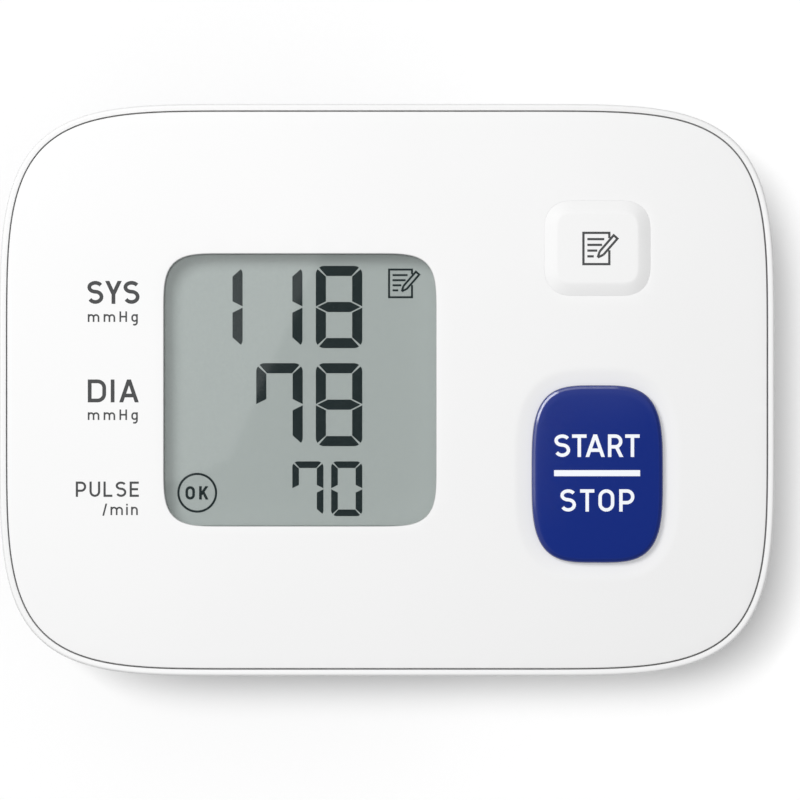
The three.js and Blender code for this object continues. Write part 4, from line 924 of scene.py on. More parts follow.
def key_flange(loop):
    """Rings of the flange that holds a key behind the panel, up to the foot of the key's side."""
    top = panel_back - SEAT_PLAY
    return loop.rings([(-KEY_FLANGE_WIDTH, top - KEY_FLANGE), (-KEY_FLANGE_WIDTH, top), (0.0, top)])


def start_key():
    """Flange, straight side, chamfered edge and crowned top, ring over ring."""
    rows = [*key_flange(START), *START.rings(START_EDGE + [0.0, start_face + START_KEY_SHOULDER])]
    for scale in np.linspace(*START_KEY_RINGS, 14):
        points = start_centre + START_RIM * scale
        rows.append(level(points, start_top(points)))
    skin = Skin().tower(rows)
    return piece("start_stop_button", skin, BLUE, "start_button", ["start_stop_key"])


def memory_top(points, inset):
    """Height of the memory key: a long slope up from the panel's face that eases out into a flat top."""
    share = np.clip(inset / MEMORY_KEY_BEVEL, 0, 1)
    rise = MEMORY_KEY_RISE * (1 - (1 - share) ** MEMORY_KEY_EASE)
    return crown(points) * (1 - share) + memory_face * share + rise


def memory_key():
    """Flange, side and sloping top, ring over ring."""
    rows = key_flange(MEMORY)
    for inset in np.linspace(0, MEMORY_KEY_BEVEL * MEMORY_KEY_RINGS, 14):
        points = MEMORY.moved(inset)
        rows.append(level(points, memory_top(points, inset)))
    skin = Skin().tower(rows)
    return piece("memory_button_cap", skin, WHITE, "memory_button", ["memory_key"])


def battery_door():
    """Plate with a rounded outer edge, finger grooves and the plug that fits the opening."""
    loop = door_loop()
    edge = quarter(DOOR_EDGE, DOOR_EDGE, 5) + [0, rear_z]
    middle = (door_low + door_high)[0] / 2
    places = door_high[1] - GRIP_END_MARGIN - GRIP_PITCH * np.arange(GRIP_COUNT)
    grips = [squircle(GRIP_HALF, GRIP_HALF[1], 2.0, 60, (middle, place)) for place in places]
    skin = Skin().fill(loop.moved(DOOR_EDGE), [grip.points for grip in grips], rear_z)
    skin.rows(loop.rings([*edge, (0, rear_z + DOOR_PLATE)]))
    for grip in grips:
        rows = grip.rings([(0, rear_z), (GRIP_DRAFT, rear_z + GRIP_DEPTH)])
        skin.rows(rows).lid(rows[-1])
    inset = DOOR_LIP + DOOR_FIT
    x0, y0 = door_low[:2] + inset
    x1, y1 = door_high[:2] - inset
    plug = rounded([(x1, y0), (x1, y1), (x0, y1), (x0, y0)], DOOR_CORNER - inset)
    skin.fill(loop.points, [plug.points], rear_z + DOOR_PLATE)
    rows = plug.rings([(0, rear_z + DOOR_PLATE), (0, rear_z + CASE_FLOOR)])
    skin.rows(rows).lid(rows[-1])
    return piece("battery_door_cover", skin, WHITE, "battery_door", ["battery_cover"])


def case_screw(index):
    """Pan head with a cross recess over a plain shank, in a counterbore of the rear face."""
    name = f"case_screw_{index + 1}"
    low, high = node_box(name)
    centre = (low + high)[:2] / 2
    diameter = (high - low)[0]
    arm, half = diameter / 2 * np.array(SCREW_CROSS)
    cross = [(arm, -half), (arm, half), (half, half), (half, arm), (-half, arm), (-half, half), (-arm, half),
             (-arm, -half), (-half, -half), (-half, -arm), (half, -arm), (half, -half)]
    recess = np.array(cross) + centre
    recess_rows = [level(recess, low[2]), level(recess, low[2] + SCREW_RECESS)]
    head = circle(diameter, 40, centre)
    head_back = low[2] + SCREW_HEAD
    edge = quarter(*SCREW_ROUND, 6) + [0, low[2]]
    shank = circle(diameter * SCREW_SHANK, 24, centre)
    shank_rows = shank.rings([(0, head_back), (0, high[2])])
    skin = Skin().fill(head.moved(SCREW_ROUND[0]), [recess], low[2])
    skin.rows(recess_rows).lid(recess_rows[-1])
    skin.rows(head.rings([*edge, (0, head_back)]))
    skin.fill(head.points, [shank.points], head_back)
    skin.rows(shank_rows).lid(shank_rows[-1])
    return piece(f"case_screw_steel_{index + 1}", skin, STEEL, "monitor", [name])


def cell(index):
    """AAA cell, turned from profiles of radius and place along it: a sleeve with rolled ends, and the bare
    metal of its flat end and its nub. The second cell lies the other way round."""
    name = f"cell_{index + 1}"
    low, high = node_box(name)
    axis = ((low + high)[0] / 2, (low + high)[2] / 2)
    radius, length = (high - low)[0] / 2, (high - low)[1]
    body = length - NUB_HEIGHT
    way, start = ((1, low[1]), (-1, high[1]))[index]

    def placed(profile, count):
        """Rows of a profile that is measured from the cell's flat end."""
        return turned(np.array(profile) * [1, way] + [0, start], count, axis)

    roll = quarter(SLEEVE_ROLL, SLEEVE_ROLL, 5) * [-1, 1] + [radius, 0]
    far_roll = roll[::-1] * [1, -1] + [0, body]
    lap = radius - SLEEVE_LAP
    sleeve = np.array([*roll, *far_roll, (lap, body - SLEEVE_WALL), (lap, SLEEVE_WALL), roll[0]])
    around = np.linspace(0, 2 * np.pi * radius, 48, endpoint=False)
    flat = np.stack(np.broadcast_arrays(around, sleeve[:, 1:]), axis=-1)
    wrap = Skin().rows(placed(sleeve, 48), flat=flat)
    piece(f"{name}_sleeve", wrap, CELL_SLEEVE, "monitor", [name])
    side, foot = radius - CAN_INSET, body - NUB_FOOT
    can = placed([
        (POLE_RADIUS, CAN_PLAY), (side, CAN_PLAY), (side, foot), (NUB_RADIUS, foot),
        (NUB_RADIUS, length - NUB_ROUND), (NUB_RADIUS - NUB_ROUND, length), (POLE_RADIUS, length),
    ], 40)
    piece(f"{name}_can", Skin().tower(can), NICKEL, "monitor", [name])


# Printed marks and display segments: strokes of even width, laid on the surface below them

def bow(cx, cy, rx, ry, first, last, steps=15):
    """Arc of an ellipse between two angles in degrees."""
    angle = np.radians(np.linspace(first, last, steps))
    return np.column_stack([cx + rx * np.cos(angle), cy + ry * np.sin(angle)])


def line(x0, y0, x1, y1):
    """Straight stroke."""
    share = np.linspace(0, 1, 14)[:, None]
    return np.array([x0, y0]) * (1 - share) + np.array([x1, y1]) * share


def join(*paths):
    """Strokes end to end."""
    return np.concatenate(paths)


def letters(stroke):
    """Plain sans letters as width and outlines, for a cap height of 1 and strokes of the given width."""
    # Half a stroke, the middle of the top and bottom strokes, and half the foot of a steep slanting one
    s = stroke / 2
    t, b = 1 - s, s
    h = s * 1.08

    def lean(x0, y0, x1, y1):
        """A slanting stroke, cut level at its foot and its head."""
        half = s * math.hypot(x1 - x0, y1 - y0) / (y1 - y0)
        return np.array([(x0 - half, y0), (x0 + half, y0), (x1 + half, y1), (x1 - half, y1)])

    def bowl(width, low, high):
        """A letter's half-round side, from the stem out and back."""
        r = (high - low) / 2
        x = width - s - r
        return join(line(s, high, x, high), bow(x, low + r, r, r, 90, -90), line(x, low, s, low))

    def arch(left, right, x_height):
        """The arch of a small n, from its left stem to the foot of its right one."""
        r = (right - left) / 2
        y = x_height - s - r
        return join(bow(left + r, y, r, r, 180, 0), line(right, y, right, 0))

    def round_side(r, top):
        """The left half of a round letter with straight sides, from its top to its foot."""
        x = r + s
        return join(bow(x, top - r, r, r, 90, 180), bow(x, s + r, r, r, 180, 270))

    ess = join(bow(0.35, (t + 0.53) / 2, 0.35 - s, (t - 0.53) / 2, 28, 270),
               bow(0.35, (b + 0.53) / 2, 0.35 - s, (0.53 - b) / 2, 90, -152))
    o_left = round_side(0.355 - s, t)
    o_right = o_left * [-1, 1] + [0.71, 0]
    u = 0.35 - s
    cup = join(line(s, 1, s, b + u), bow(0.35, b + u, u, u, 180, 360), line(0.7 - s, b + u, 0.7 - s, 1))
    d_curve = join(line(s, t, 0.42, t), bow(0.42, t - 0.28, 0.38 - s, 0.28, 90, 0),
                   bow(0.42, b + 0.28, 0.38 - s, 0.28, 0, -90), line(0.42, b, s, b))
    small = 0.74
    g_left = round_side(0.31 - s, small - s)
    g_right = g_left * [-1, 1] + [0.62, 0]
    tail = join(line(0.62 - s, small, 0.62 - s, -0.02), bow(0.31, -0.02, 0.31 - s, 0.25, 0, -125))
    shapes = {
        "S": (0.70, [ess]),
        "T": (0.64, [line(0, t, 0.64, t), line(0.32, t, 0.32, 0)]),
        "A": (0.86, [line(0.18, 0.3, 0.68, 0.3)], [lean(h, 0, 0.43, 1), lean(0.86 - h, 0, 0.43, 1)]),
        "R": (0.68, [line(s, 0, s, 1), bowl(0.64, 0.45, t)], [lean(0.68 - h, 0, 0.36, 0.48)]),
        "O": (0.71, [o_left, o_right]),
        "P": (0.68, [line(s, 0, s, 1), bowl(0.68, 0.40, t)]),
        "Y": (0.72, [line(0.36, 0.52, 0.36, 0)], [lean(0.36, 0.42, h, 1), lean(0.36, 0.42, 0.72 - h, 1)]),
        "D": (0.80, [line(s, 0, s, 1), d_curve]),
        "I": (stroke, [line(s, 0, s, 1)]),
        "U": (0.70, [cup]),
        "L": (0.58, [line(s, 0, s, 1), line(s, b, 0.58, b)]),
        "E": (0.60, [line(s, 0, s, 1), line(s, t, 0.60, t), line(s, 0.5, 0.55, 0.5), line(s, b, 0.60, b)]),
        "H": (0.72, [line(s, 0, s, 1), line(0.72 - s, 0, 0.72 - s, 1), line(s, 0.5, 0.72 - s, 0.5)]),
        "K": (0.70, [line(s, 0, s, 1)], [lean(s, 0.3, 0.68 - h, 1), lean(0.70 - h, 0, 0.3, 0.58)]),
        "m": (1.10, [line(s, 0, s, small), arch(s, 0.55, small), arch(0.55, 1.10 - s, small)]),
        "n": (0.60, [line(s, 0, s, small), arch(s, 0.60 - s, small)]),
        "i": (stroke, [line(s, 0, s, small), line(s, 1 - stroke, s, 1)]),
        "g": (0.62, [g_left, g_right, tail]),
        "/": (0.44, [], [lean(h, -0.06, 0.44 - h, 1.02)]),
    }
    return {letter: (width, [ribbon(path, stroke) for path in paths] + sum(leaning, []))
            for letter, (width, paths, *leaning) in shapes.items()}


# Closer or wider spacing of a pair of letters, in cap heights
TUCKS = {("T", "A"): -0.13, ("A", "R"): 0.05, ("O", "P"): 0.04}


def lettering(text, left, baseline, cap, width, weight):
    """Outlines of a line of text that fills a width, in millimetres."""
    shapes = letters(weight)
    widths = np.array([shapes[letter][0] for letter in text]) * cap
    tucks = np.array([TUCKS.get(pair, 0.0) for pair in zip(text, text[1:])]) * cap
    gap = (width - widths.sum() - tucks.sum()) / max(1, len(text) - 1)
    lefts = left + np.concatenate([[0], np.cumsum(widths[:-1] + gap + tucks)])
    return [outline * cap + [x, baseline] for letter, x in zip(text, lefts) for outline in shapes[letter][1]]


def ribbon(path, width):
    """The outline of a stroke: its centre line moved half a width to either side."""
    along = np.gradient(path, axis=0)
    across = np.column_stack([-along[:, 1], along[:, 0]]) / np.linalg.norm(along, axis=1, keepdims=True)
    return np.concatenate([path - across * width / 2, (path + across * width / 2)[::-1]])


def merged(outlines):
    """Points and triangles of overlapping outlines as one flat shape without overlaps."""
    starts = np.cumsum([0] + [len(outline) for outline in outlines])
    faces = [list(range(start, end)) for start, end in zip(starts, starts[1:])]
    result = delaunay_2d_cdt(np.concatenate(outlines).tolist(), [], faces, 0, INK_TOLERANCE)
    keep = [i for i, sources in enumerate(result[5]) if sources]
    return np.array([point[:] for point in result[0]]), np.array(result[2])[keep]


def film(name, outlines, height, thickness, finish, body):
    """A thin film of merged outlines that follows the surface below it: half of it is sunk in the surface."""
    points, triangles = merged(outlines)
    used, index = np.unique(triangles, return_inverse=True)
    points = points[used]
    triangles = index.reshape(-1, 3)
    sides = triangles[:, [[0, 1], [1, 2], [2, 0]]].reshape(-1, 2)
    _, first, count = np.unique(np.sort(sides, axis=1), axis=0, return_index=True, return_counts=True)
    rim = sides[first[count == 1]]
    surface, count = height(points), len(points)
    both = np.concatenate([level(points, surface + thickness), level(points, surface - thickness)])
    skin = Skin().add(both, np.concatenate([triangles, triangles[:, ::-1] + count]))
    skin.faces += np.column_stack([rim[:, ::-1], rim + count]).tolist()
    return piece(name, skin, finish, body)


# Page and stroke of the memo sign
MEMO_PAGE = (2.8, 3.38)
MEMO_STROKE = 0.25
# Lit segments of each digit, and the round of their outer corners as a share of the stroke
SEGMENTS = {"0": "abcdef", "1": "bc", "7": "abcf", "8": "abcdefg"}
DIGIT_ROUND = 0.75


def memo(left, bottom, scale):
    """A page with lines of writing and a pencil across its side."""
    w, h = MEMO_PAGE
    tip, end = np.array([1.55, 0.72]), np.array([3.48, 2.94])
    along = (end - tip) / np.linalg.norm(end - tip)
    side = np.array([-along[1], along[0]])
    neck, across, s = tip + along * 0.62, side * 0.27, MEMO_STROKE / 2
    head = end + along * s
    pencil = [(neck + across, head + across), (neck - across, head - across),
              (end + across + side * s, end - across - side * s), (tip, neck + across), (tip, neck - across)]
    page = [((-s, 0), (w + s, 0)), ((0, 0), (0, h)), ((-s, h), (w + s, h)),
            ((w, 0), (w, 1.5)), ((w, 2.8), (w, h))]
    writing = [((0.42, y), (x, y)) for y, x in ((2.7, 2.26), (2.08, 2.02), (1.46, 1.5), (0.84, 1.12))]
    strokes = [line(*first, *second) for first, second in [*pencil, *page, *writing]]
    return [ribbon(stroke * scale + [left, bottom], MEMO_STROKE * scale) for stroke in strokes]


def digit(mark, left, bottom, width, height, stroke, gap):
    """Lit segments of a seven-segment digit: bars with mitred ends, thin gaps and rounded outer corners."""
    w, h, t, d = width, height, stroke, gap
    r = stroke * DIGIT_ROUND
    corner = bow(r, h - r, r, r, 90, 130, 6)
    shoulder = bow(r, h - r, r, r, 140, 180, 6)
    mirror = np.array([-1, 1])
    far_corner = (corner * mirror + [w - d, 0])[::-1]
    top = np.concatenate([corner + [d, 0], [[t + d, h - t], [w - t - d, h - t]], far_corner])
    left_bar = np.concatenate([shoulder - [0, d], [[0, h / 2 + d], [t, h / 2 + t / 2 + d], [t, h - t - d]]])
    tip = 3 * d
    middle = np.array([[tip, h / 2], [t + tip, h / 2 - t / 2], [w - t - tip, h / 2 - t / 2], [w - tip, h / 2],
                       [w - t - tip, h / 2 + t / 2], [t + tip, h / 2 + t / 2]])
    right_bar = (left_bar * mirror + [w, 0])[::-1]
    turn = np.array([1, -1])
    shapes = {
        "a": top, "b": right_bar, "c": (right_bar * turn + [0, h])[::-1], "d": (top * turn + [0, h])[::-1],
        "e": (left_bar * turn + [0, h])[::-1], "f": left_bar, "g": middle,
    }
    return [shapes[name] + [left, bottom] for name in SEGMENTS[mark]]


def number(text, right, bottom, width, height, stroke, pitch, gap):
    """A row of digits that ends at its right edge."""
    outlines = []
    for place, mark in enumerate(reversed(text)):
        outlines += digit(mark, right - width - place * pitch, bottom, width, height, stroke, gap)
    return outlines


# Text, left, baseline, cap height, width and stroke; the stroke is a share of the cap height
CAPTIONS = [
    ("SYS", -32.44, 9.32, 2.49, 5.66, 0.165),
    ("mmHg", -32.39, 7.37, 1.14, 5.42, 0.16),
    ("DIA", -32.39, -1.34, 2.48, 5.53, 0.165),
    ("mmHg", -32.39, -3.25, 1.14, 5.42, 0.16),
    ("PULSE", -33.69, -11.57, 1.66, 6.83, 0.145),
    ("/min", -30.82, -13.54, 1.22, 3.85, 0.15),
]
START_WORDS = [
    ("START", 18.09, -7.24, 2.44, 9.22, 0.152),
    ("STOP", 18.74, -13.14, 2.41, 8.0, 0.152),
]
RING_WORDS = [("OK", -21.9, -11.9, 1.45, 2.5, 0.2)]
START_BAR = (18.06, -8.99, 27.36, -8.99)
START_BAR_WIDTH = 0.65
# Text, right, bottom, digit's width and height, stroke, pitch and gap
READINGS = [
    ("118", -2.69, 4.55, 5.05, 8.94, 1.1, 6.5, 0.065),
    ("78", -2.69, -6.10, 5.05, 9.02, 1.1, 6.47, 0.065),
    ("70", -2.69, -13.70, 3.38, 5.95, 0.72, 4.22, 0.055),
]
# Left, bottom and scale of the two memo signs; centre and radii of the ring, and its three arcs in degrees
KEY_MEMO = (21.24, 13.61, 1.0)
LCD_MEMO = (0.22, 10.08, 0.89)
LCD_RING = (-20.62, -11.16, 2.05, 2.05)
LCD_RING_STROKE = 0.24
LCD_ARC = 122
INK = 0.012
SEGMENT_FILM = 0.015


def words(entries):
    """Outlines of lines of text."""
    return [outline for entry in entries for outline in lettering(*entry)]


def label_ink():
    """Captions beside the display, which end at a common right edge."""
    return film("caption_print", words(CAPTIONS), crown, INK, GREY_INK, "monitor")


def start_ink():
    """START and STOP with a bar between them, printed on the crowned key."""
    outlines = [ribbon(line(*START_BAR), START_BAR_WIDTH), *words(START_WORDS)]
    return film("start_stop_print", outlines, start_top, INK, PALE_INK, "start_button")


def memory_ink():
    """Memo sign on the memory key."""
    def top(points):
        return memory_top(points, MEMORY_KEY_BEVEL)
    return film("memory_print", memo(*KEY_MEMO), top, INK, GREY_INK, "memory_button")


def lcd_marks():
    """The display's dark segments: three readings, a memo sign and a ring of three arcs with OK in it."""
    outlines = [outline for entry in READINGS for outline in number(*entry)]
    outlines += memo(*LCD_MEMO)
    outlines += [ribbon(bow(*LCD_RING, start, start + LCD_ARC), LCD_RING_STROKE) for start in (0, 120, 240)]
    outlines += words(RING_WORDS)

    def glass(points):
        return np.full(len(points), lcd_top)
    return film("lcd_segments", outlines, glass, SEGMENT_FILM, SEGMENT, "monitor")


front_cover()
rear_case()
display_lens()
start_button = start_key()
memory_key()
battery_door()
for screw_index in range(CASE_SCREWS):
    case_screw(screw_index)
for cell_index in range(CELLS):
    cell(cell_index)
label_ink()
start_ink()
memory_ink()
lcd_marks()


# Cuff: cloth laid along a path in the YZ plane, from the short wing round the wrist and up the closing flap

class Course:
    """A path with its outward normals; cloth lies on it by length along it, place across it and offset
    outwards."""

    def __init__(self, runs):
        data = np.concatenate([runs[0], *(run[1:] for run in runs[1:])])
        steps = np.linalg.norm(np.diff(data[:, :2], axis=0), axis=1)
        self.data = data
        self.run = np.concatenate([[0], np.cumsum(steps)])

    def wrap(self, along, across, offset):
        """Points of the cloth in space."""
        y, z, out_y, out_z = (np.interp(along, self.run, column) for column in self.data.T)
        across, y = np.broadcast_arrays(across, y + out_y * offset)
        return np.stack([across, y, z + out_z * offset], axis=-1)

    def length_at(self, place):
        """Length along the path at the point nearest to a place."""
        return self.run[np.linalg.norm(self.data[:, :2] - place, axis=1).argmin()]


def straight_run(first, last, out):
    """Points of a straight stretch, with one outward normal."""
    count = int(np.linalg.norm(np.subtract(last, first)) * COURSE_STEPS_PER_MM) + 2
    share = np.linspace(0, 1, count)[:, None]
    return np.column_stack([np.array(first) * (1 - share) + np.array(last) * share, np.tile(out, (count, 1))])


def bend_run(centre, radius, first, last):
    """Points of a bend between two angles in degrees."""
    angle = np.radians(np.linspace(first, last, int(abs(last - first) * BEND_STEPS_PER_DEGREE)))
    way = np.column_stack([np.cos(angle), np.sin(angle)])
    return np.column_stack([np.array(centre) + radius * way, way])


def smooth(share):
    """A step from 0 to 1 with level ends."""
    share = np.clip(share, 0, 1)
    return share * share * (3 - 2 * share)


half_y = OPENING[0] / 2
floor_z = CUFF
top_z = CUFF + OPENING[1]
shoulder_z = top_z - TOP_BEND
flat_y = half_y - TOP_BEND
low_y = half_y - BOTTOM_BEND
low_z = floor_z + BOTTOM_BEND
flap_radius = FLAP_BEND - CUFF
flap_y = flap_low[1] + CUFF
bend_y = flap_y + flap_radius
bend_z = floor_z + flap_radius
COURSE = Course([
    straight_run((-half_y, WING_END), (-half_y, shoulder_z), (-1, 0)),
    bend_run((-flat_y, shoulder_z), TOP_BEND, 180, 90),
    straight_run((-flat_y, top_z), (flat_y, top_z), (0, 1)),
    bend_run((flat_y, shoulder_z), TOP_BEND, 90, 0),
    straight_run((half_y, shoulder_z), (half_y, low_z), (1, 0)),
    bend_run((low_y, low_z), BOTTOM_BEND, 0, -90),
    straight_run((low_y, floor_z), (bend_y, floor_z), (0, -1)),
    bend_run((bend_y, bend_z), flap_radius, 270, 180),
    straight_run((flap_y, bend_z), (flap_y, flap_high[2]), (-1, 0)),
])
fold_way = np.array([math.cos(math.radians(FOLD_DEGREES)), math.sin(math.radians(FOLD_DEGREES))])
fold_place = np.array([bend_y, bend_z]) + fold_way * flap_radius
fold_at = COURSE.length_at(fold_place)
joint_at = fold_at - FOLD_REACH * flap_radius / FLAP_BEND
pad_end = COURSE.length_at((PAD_END_Y, floor_z))
course_end = COURSE.run[-1]


def wrist_side(along):
    """Offset of the wrist side: zero over the pad, rising to the thin tail and flap after it."""
    return TAIL_LINING * smooth((along - pad_end) / TAIL_RAMP)


class Border:
    """The sewn edge of a strip of cloth on its flat cut: from the joint along one side, round the free end
    and back."""

    def __init__(self, joint, free, corner):
        way = np.sign(free - joint)
        turn = free - way * corner
        side = np.linspace(joint, turn, int(abs(turn - joint) / BORDER_STEP))
        angle = np.linspace(0, np.pi / 2, 16)
        bend_along = turn + way * corner * np.sin(angle)
        bend_across = cuff_half - corner + corner * np.cos(angle)
        end = np.linspace(cuff_half - corner, corner - cuff_half, 60)[1:-1]
        ahead, back = np.concatenate([side, bend_along[1:]]), np.concatenate([bend_along[::-1], side[-2::-1]])
        along = np.concatenate([ahead, np.full(len(end), free), back])
        places = np.concatenate([np.full(len(side), cuff_half), bend_across[1:], end,
                                 -bend_across[::-1], np.full(len(side) - 1, -cuff_half)])
        self.points = np.column_stack([along, places + cuff_middle])
        tangent = np.gradient(self.points, axis=0)
        self.tangent = tangent / np.linalg.norm(tangent, axis=1, keepdims=True)
        self.inward = np.column_stack([self.tangent[:, 1], -self.tangent[:, 0]]) * way
        self.inward[[0, -1]] = [[0, -1], [0, 1]]
        self.run = np.concatenate([[0], np.cumsum(np.linalg.norm(np.diff(self.points, axis=0), axis=1))])
        self.free, self.corner = free, corner

    def half(self, along):
        """Half of the strip's width at a length along it, less at the rounded free end."""
        into = np.clip(self.corner - np.abs(self.free - along), 0, self.corner)
        return cuff_half - self.corner + np.sqrt(self.corner ** 2 - into ** 2)


BAND = Border(joint_at, 0.0, WING_CORNER)
STRAP = Border(joint_at, course_end, FLAP_CORNER)


def tape_skin(border, inner, outer):
    """Binding tape: a U-shaped section folded over the edge, carried along the border of the strip."""
    def section(inset):
        """Half of the U, moved in by an inset: distances from the edge, and depths below the tape's face."""
        flat = np.linspace(TAPE_WIDTH, TAPE_ROUND, 6)[:-1]
        bend = inset + quarter(TAPE_ROUND - inset, TAPE_ROUND - inset, 6)
        return np.concatenate([np.column_stack([flat, np.full(len(flat), inset)]), bend]).T

    d_out, o_out = section(0.0)
    d_in, o_in = section(TAPE)
    inner = np.broadcast_to(inner, len(border.run))[:, None]
    outer = np.broadcast_to(outer, len(border.run))[:, None]
    away = np.concatenate([d_out, d_out[::-1], d_in, d_in[::-1]])
    offset = np.concatenate([outer - o_out, inner + o_out[::-1], inner + o_in, outer - o_in[::-1]], axis=1)
    flat = border.points[:, None] + away[None, :, None] * border.inward[:, None]
    rows = COURSE.wrap(flat[..., 0], flat[..., 1], offset)
    around = np.concatenate([[0], np.cumsum(np.abs(np.diff(away)) + np.abs(np.diff(offset[0])))])
    cloth_place = np.stack(np.broadcast_arrays(border.run[:, None], around[None]), axis=-1)
    skin = Skin().rows(rows, flat=cloth_place)
    return skin.lid(rows[0]).lid(rows[-1])


class Strip:
    """A strip of cloth on a grid of lengths along it and places across it, closer together at its sewn edges:
    sin(c v) / sin(c) for v from -1 to 1."""

    def __init__(self, border, first, last, rows, columns):
        along = np.linspace(first, last, rows)
        crowding = EDGE_CROWDING * np.pi / 2
        share = np.sin(np.linspace(-1, 1, columns) * crowding) / np.sin(crowding)
        self.border = border
        self.half = border.half(along)[:, None]
        self.across = cuff_middle + (self.half - EDGE_INSET) * share
        self.lengths = np.broadcast_to(along[:, None], self.across.shape)

    def dip(self, half):
        """How far its face is drawn in: fully under the binding tape and its seam, and less and less towards
        the middle of a strip of the given half width."""
        away = np.minimum(half - np.abs(self.across - cuff_middle), np.abs(self.lengths - self.border.free))
        return EDGE_DIP * (1 - smooth((away - TAPE_WIDTH + EDGE_DIP_LAP) / EDGE_DIP_REACH))

    def wrapped(self, offset):
        """Its points in space at an offset from the course."""
        return COURSE.wrap(self.lengths, self.across, offset)

    def skin(self, first, second):
        """The closed cloth between two faces, each given by its offset."""
        rows = np.concatenate([self.wrapped(first), self.wrapped(second)[:, ::-1]], axis=1)
        face = np.stack([self.lengths, self.across], axis=-1)
        flat = np.concatenate([face, face[:, ::-1]], axis=1)
        return Skin().rows(rows, flat=flat).lid(rows[0]).lid(rows[-1])


def cuff_cover():
    """Outer cloth of the cuff, drawn in at its sewn edge, with slight pulls across it: a sine along the strip
    whose phase sways with a sine across it."""
    strip = Strip(BAND, EDGE_INSET, joint_at, rows=260, columns=45)
    phase = strip.lengths / PULL_WAVE + PULL_SWAY * np.sin(strip.across / PULL_SWAY_WAVE)
    outer = CUFF - FACE_SINK - strip.dip(strip.half - EDGE_INSET) + PULL_DEPTH * (np.sin(phase) - 1)
    skin = strip.skin(outer, outer - COVER)
    made = piece("cuff_outer_cloth", skin, LOOP_NYLON, "monitor", ["cuff_cover"])


def swollen_lining(strip):
    """Lets the lining swell under the pressure of the air bladder: Blender's cloth on a copy of the pad, its
    sewn edges and its back held. Gives each point's rise towards the wrist."""
    lengths, columns = strip.lengths, strip.across.shape[1]
    lining = wrist_side(lengths)
    front = strip.wrapped(lining) * CLOTH_SCALE
    back = strip.wrapped(lining + PAD_DEPTH) * CLOTH_SCALE
    rows = np.concatenate([front, back[:, ::-1]], axis=1)
    width = rows.shape[1]
    skin = Skin().rows(rows)
    mesh = bpy.data.meshes.new("pad")
    ends = [list(range(width)), list(range(len(rows) * width - width, len(rows) * width))]
    mesh.from_pydata(rows.reshape(-1, 3), [], skin.faces + ends)
    work = bmesh.new()
    work.from_mesh(mesh)
    bmesh.ops.recalc_face_normals(work, faces=work.faces)
    work.to_mesh(mesh)
    work.free()
    pad = object_of("pad", mesh)
    away = np.minimum(cuff_half - np.abs(strip.across - cuff_middle), lengths)
    held = np.ones(rows.shape[:2], bool)
    held[:, :columns] = (away < TAPE_WIDTH + PAD_HELD_SIDE) | (lengths > pad_end - PAD_HELD_END)
    pins = pad.vertex_groups.new(name="held")
    pins.add(np.flatnonzero(held.ravel()).tolist(), 1.0, "REPLACE")
    cloth_change = pad.modifiers.new("cloth", "CLOTH")
    settings = cloth_change.settings
    settings.vertex_group_mass = "held"
    settings.quality = 6
    settings.mass = 0.3
    settings.tension_stiffness = settings.compression_stiffness = 12.0
    settings.bending_stiffness = 0.3
    settings.shrink_min = -0.05
    settings.use_pressure = True
    settings.uniform_pressure_force = 4.0
    settings.effector_weights.gravity = 0.0
    cloth_change.point_cache.frame_start = 1
    cloth_change.point_cache.frame_end = CLOTH_FRAMES
    scene = bpy.context.scene
    for moment in range(1, CLOTH_FRAMES + 1):
        scene.frame_set(moment)
    settled = pad.evaluated_get(bpy.context.evaluated_depsgraph_get()).data
    places = np.zeros(len(settled.vertices) * 3)
    settled.vertices.foreach_get("co", places)
    scene.frame_set(1)
    moved = (places.reshape(*rows.shape) - rows)[:, :columns] / CLOTH_SCALE
    bpy.data.objects.remove(pad)
    wristward = strip.wrapped(lining - 1.0) - front / CLOTH_SCALE
    return (moved * wristward).sum(axis=2)


def calmed(heights, passes):
    """A grid of heights with its creases eased: each point goes halfway to the mean of its four neighbours,
    over and over."""
    for _ in range(passes):
        edged = np.pad(heights, 1, mode="edge")
        mean = (edged[:-2, 1:-1] + edged[2:, 1:-1] + edged[1:-1, :-2] + edged[1:-1, 2:]) / 4
        heights = (heights + mean) / 2
    return heights


def cuff_lining():
    """Soft cloth on the wrist's side, swollen over the air bladder and thin along the tail."""
    strip = Strip(BAND, EDGE_INSET, joint_at, rows=200, columns=51)
    rise = calmed(np.clip(swollen_lining(strip), 0, PILLOW_CAP), CALMING)
    inner = wrist_side(strip.lengths) + strip.dip(strip.half) - rise
    skin = strip.skin(inner, inner + LINING)
    made = piece("cuff_lining_cloth", skin, TRICOT, "monitor", ["cuff_lining"])


def outer_seam(lengths):
    """Offset of the stitches on the outside of the tape."""
    return np.full(np.shape(lengths), CUFF + STITCH_RISE)


def inner_seam(lengths):
    """Offset of the stitches on the wrist's side of the tape."""
    return wrist_side(lengths) - STITCH_RISE


def stitches(border, offset):
    """A seam along a border: slim rounded stitches, one to a pitch."""
    length = border.run[-1]
    count = int(length / STITCH_PITCH)
    middles = (np.arange(count) + 0.5) * length / count
    seam = np.column_stack([border.points + STITCH_INSET * border.inward, border.tangent])
    placed = np.column_stack([np.interp(middles, border.run, column) for column in seam.T])
    return scattered(stitch_shape(), placed[:, :2], placed[:, 2:], offset)


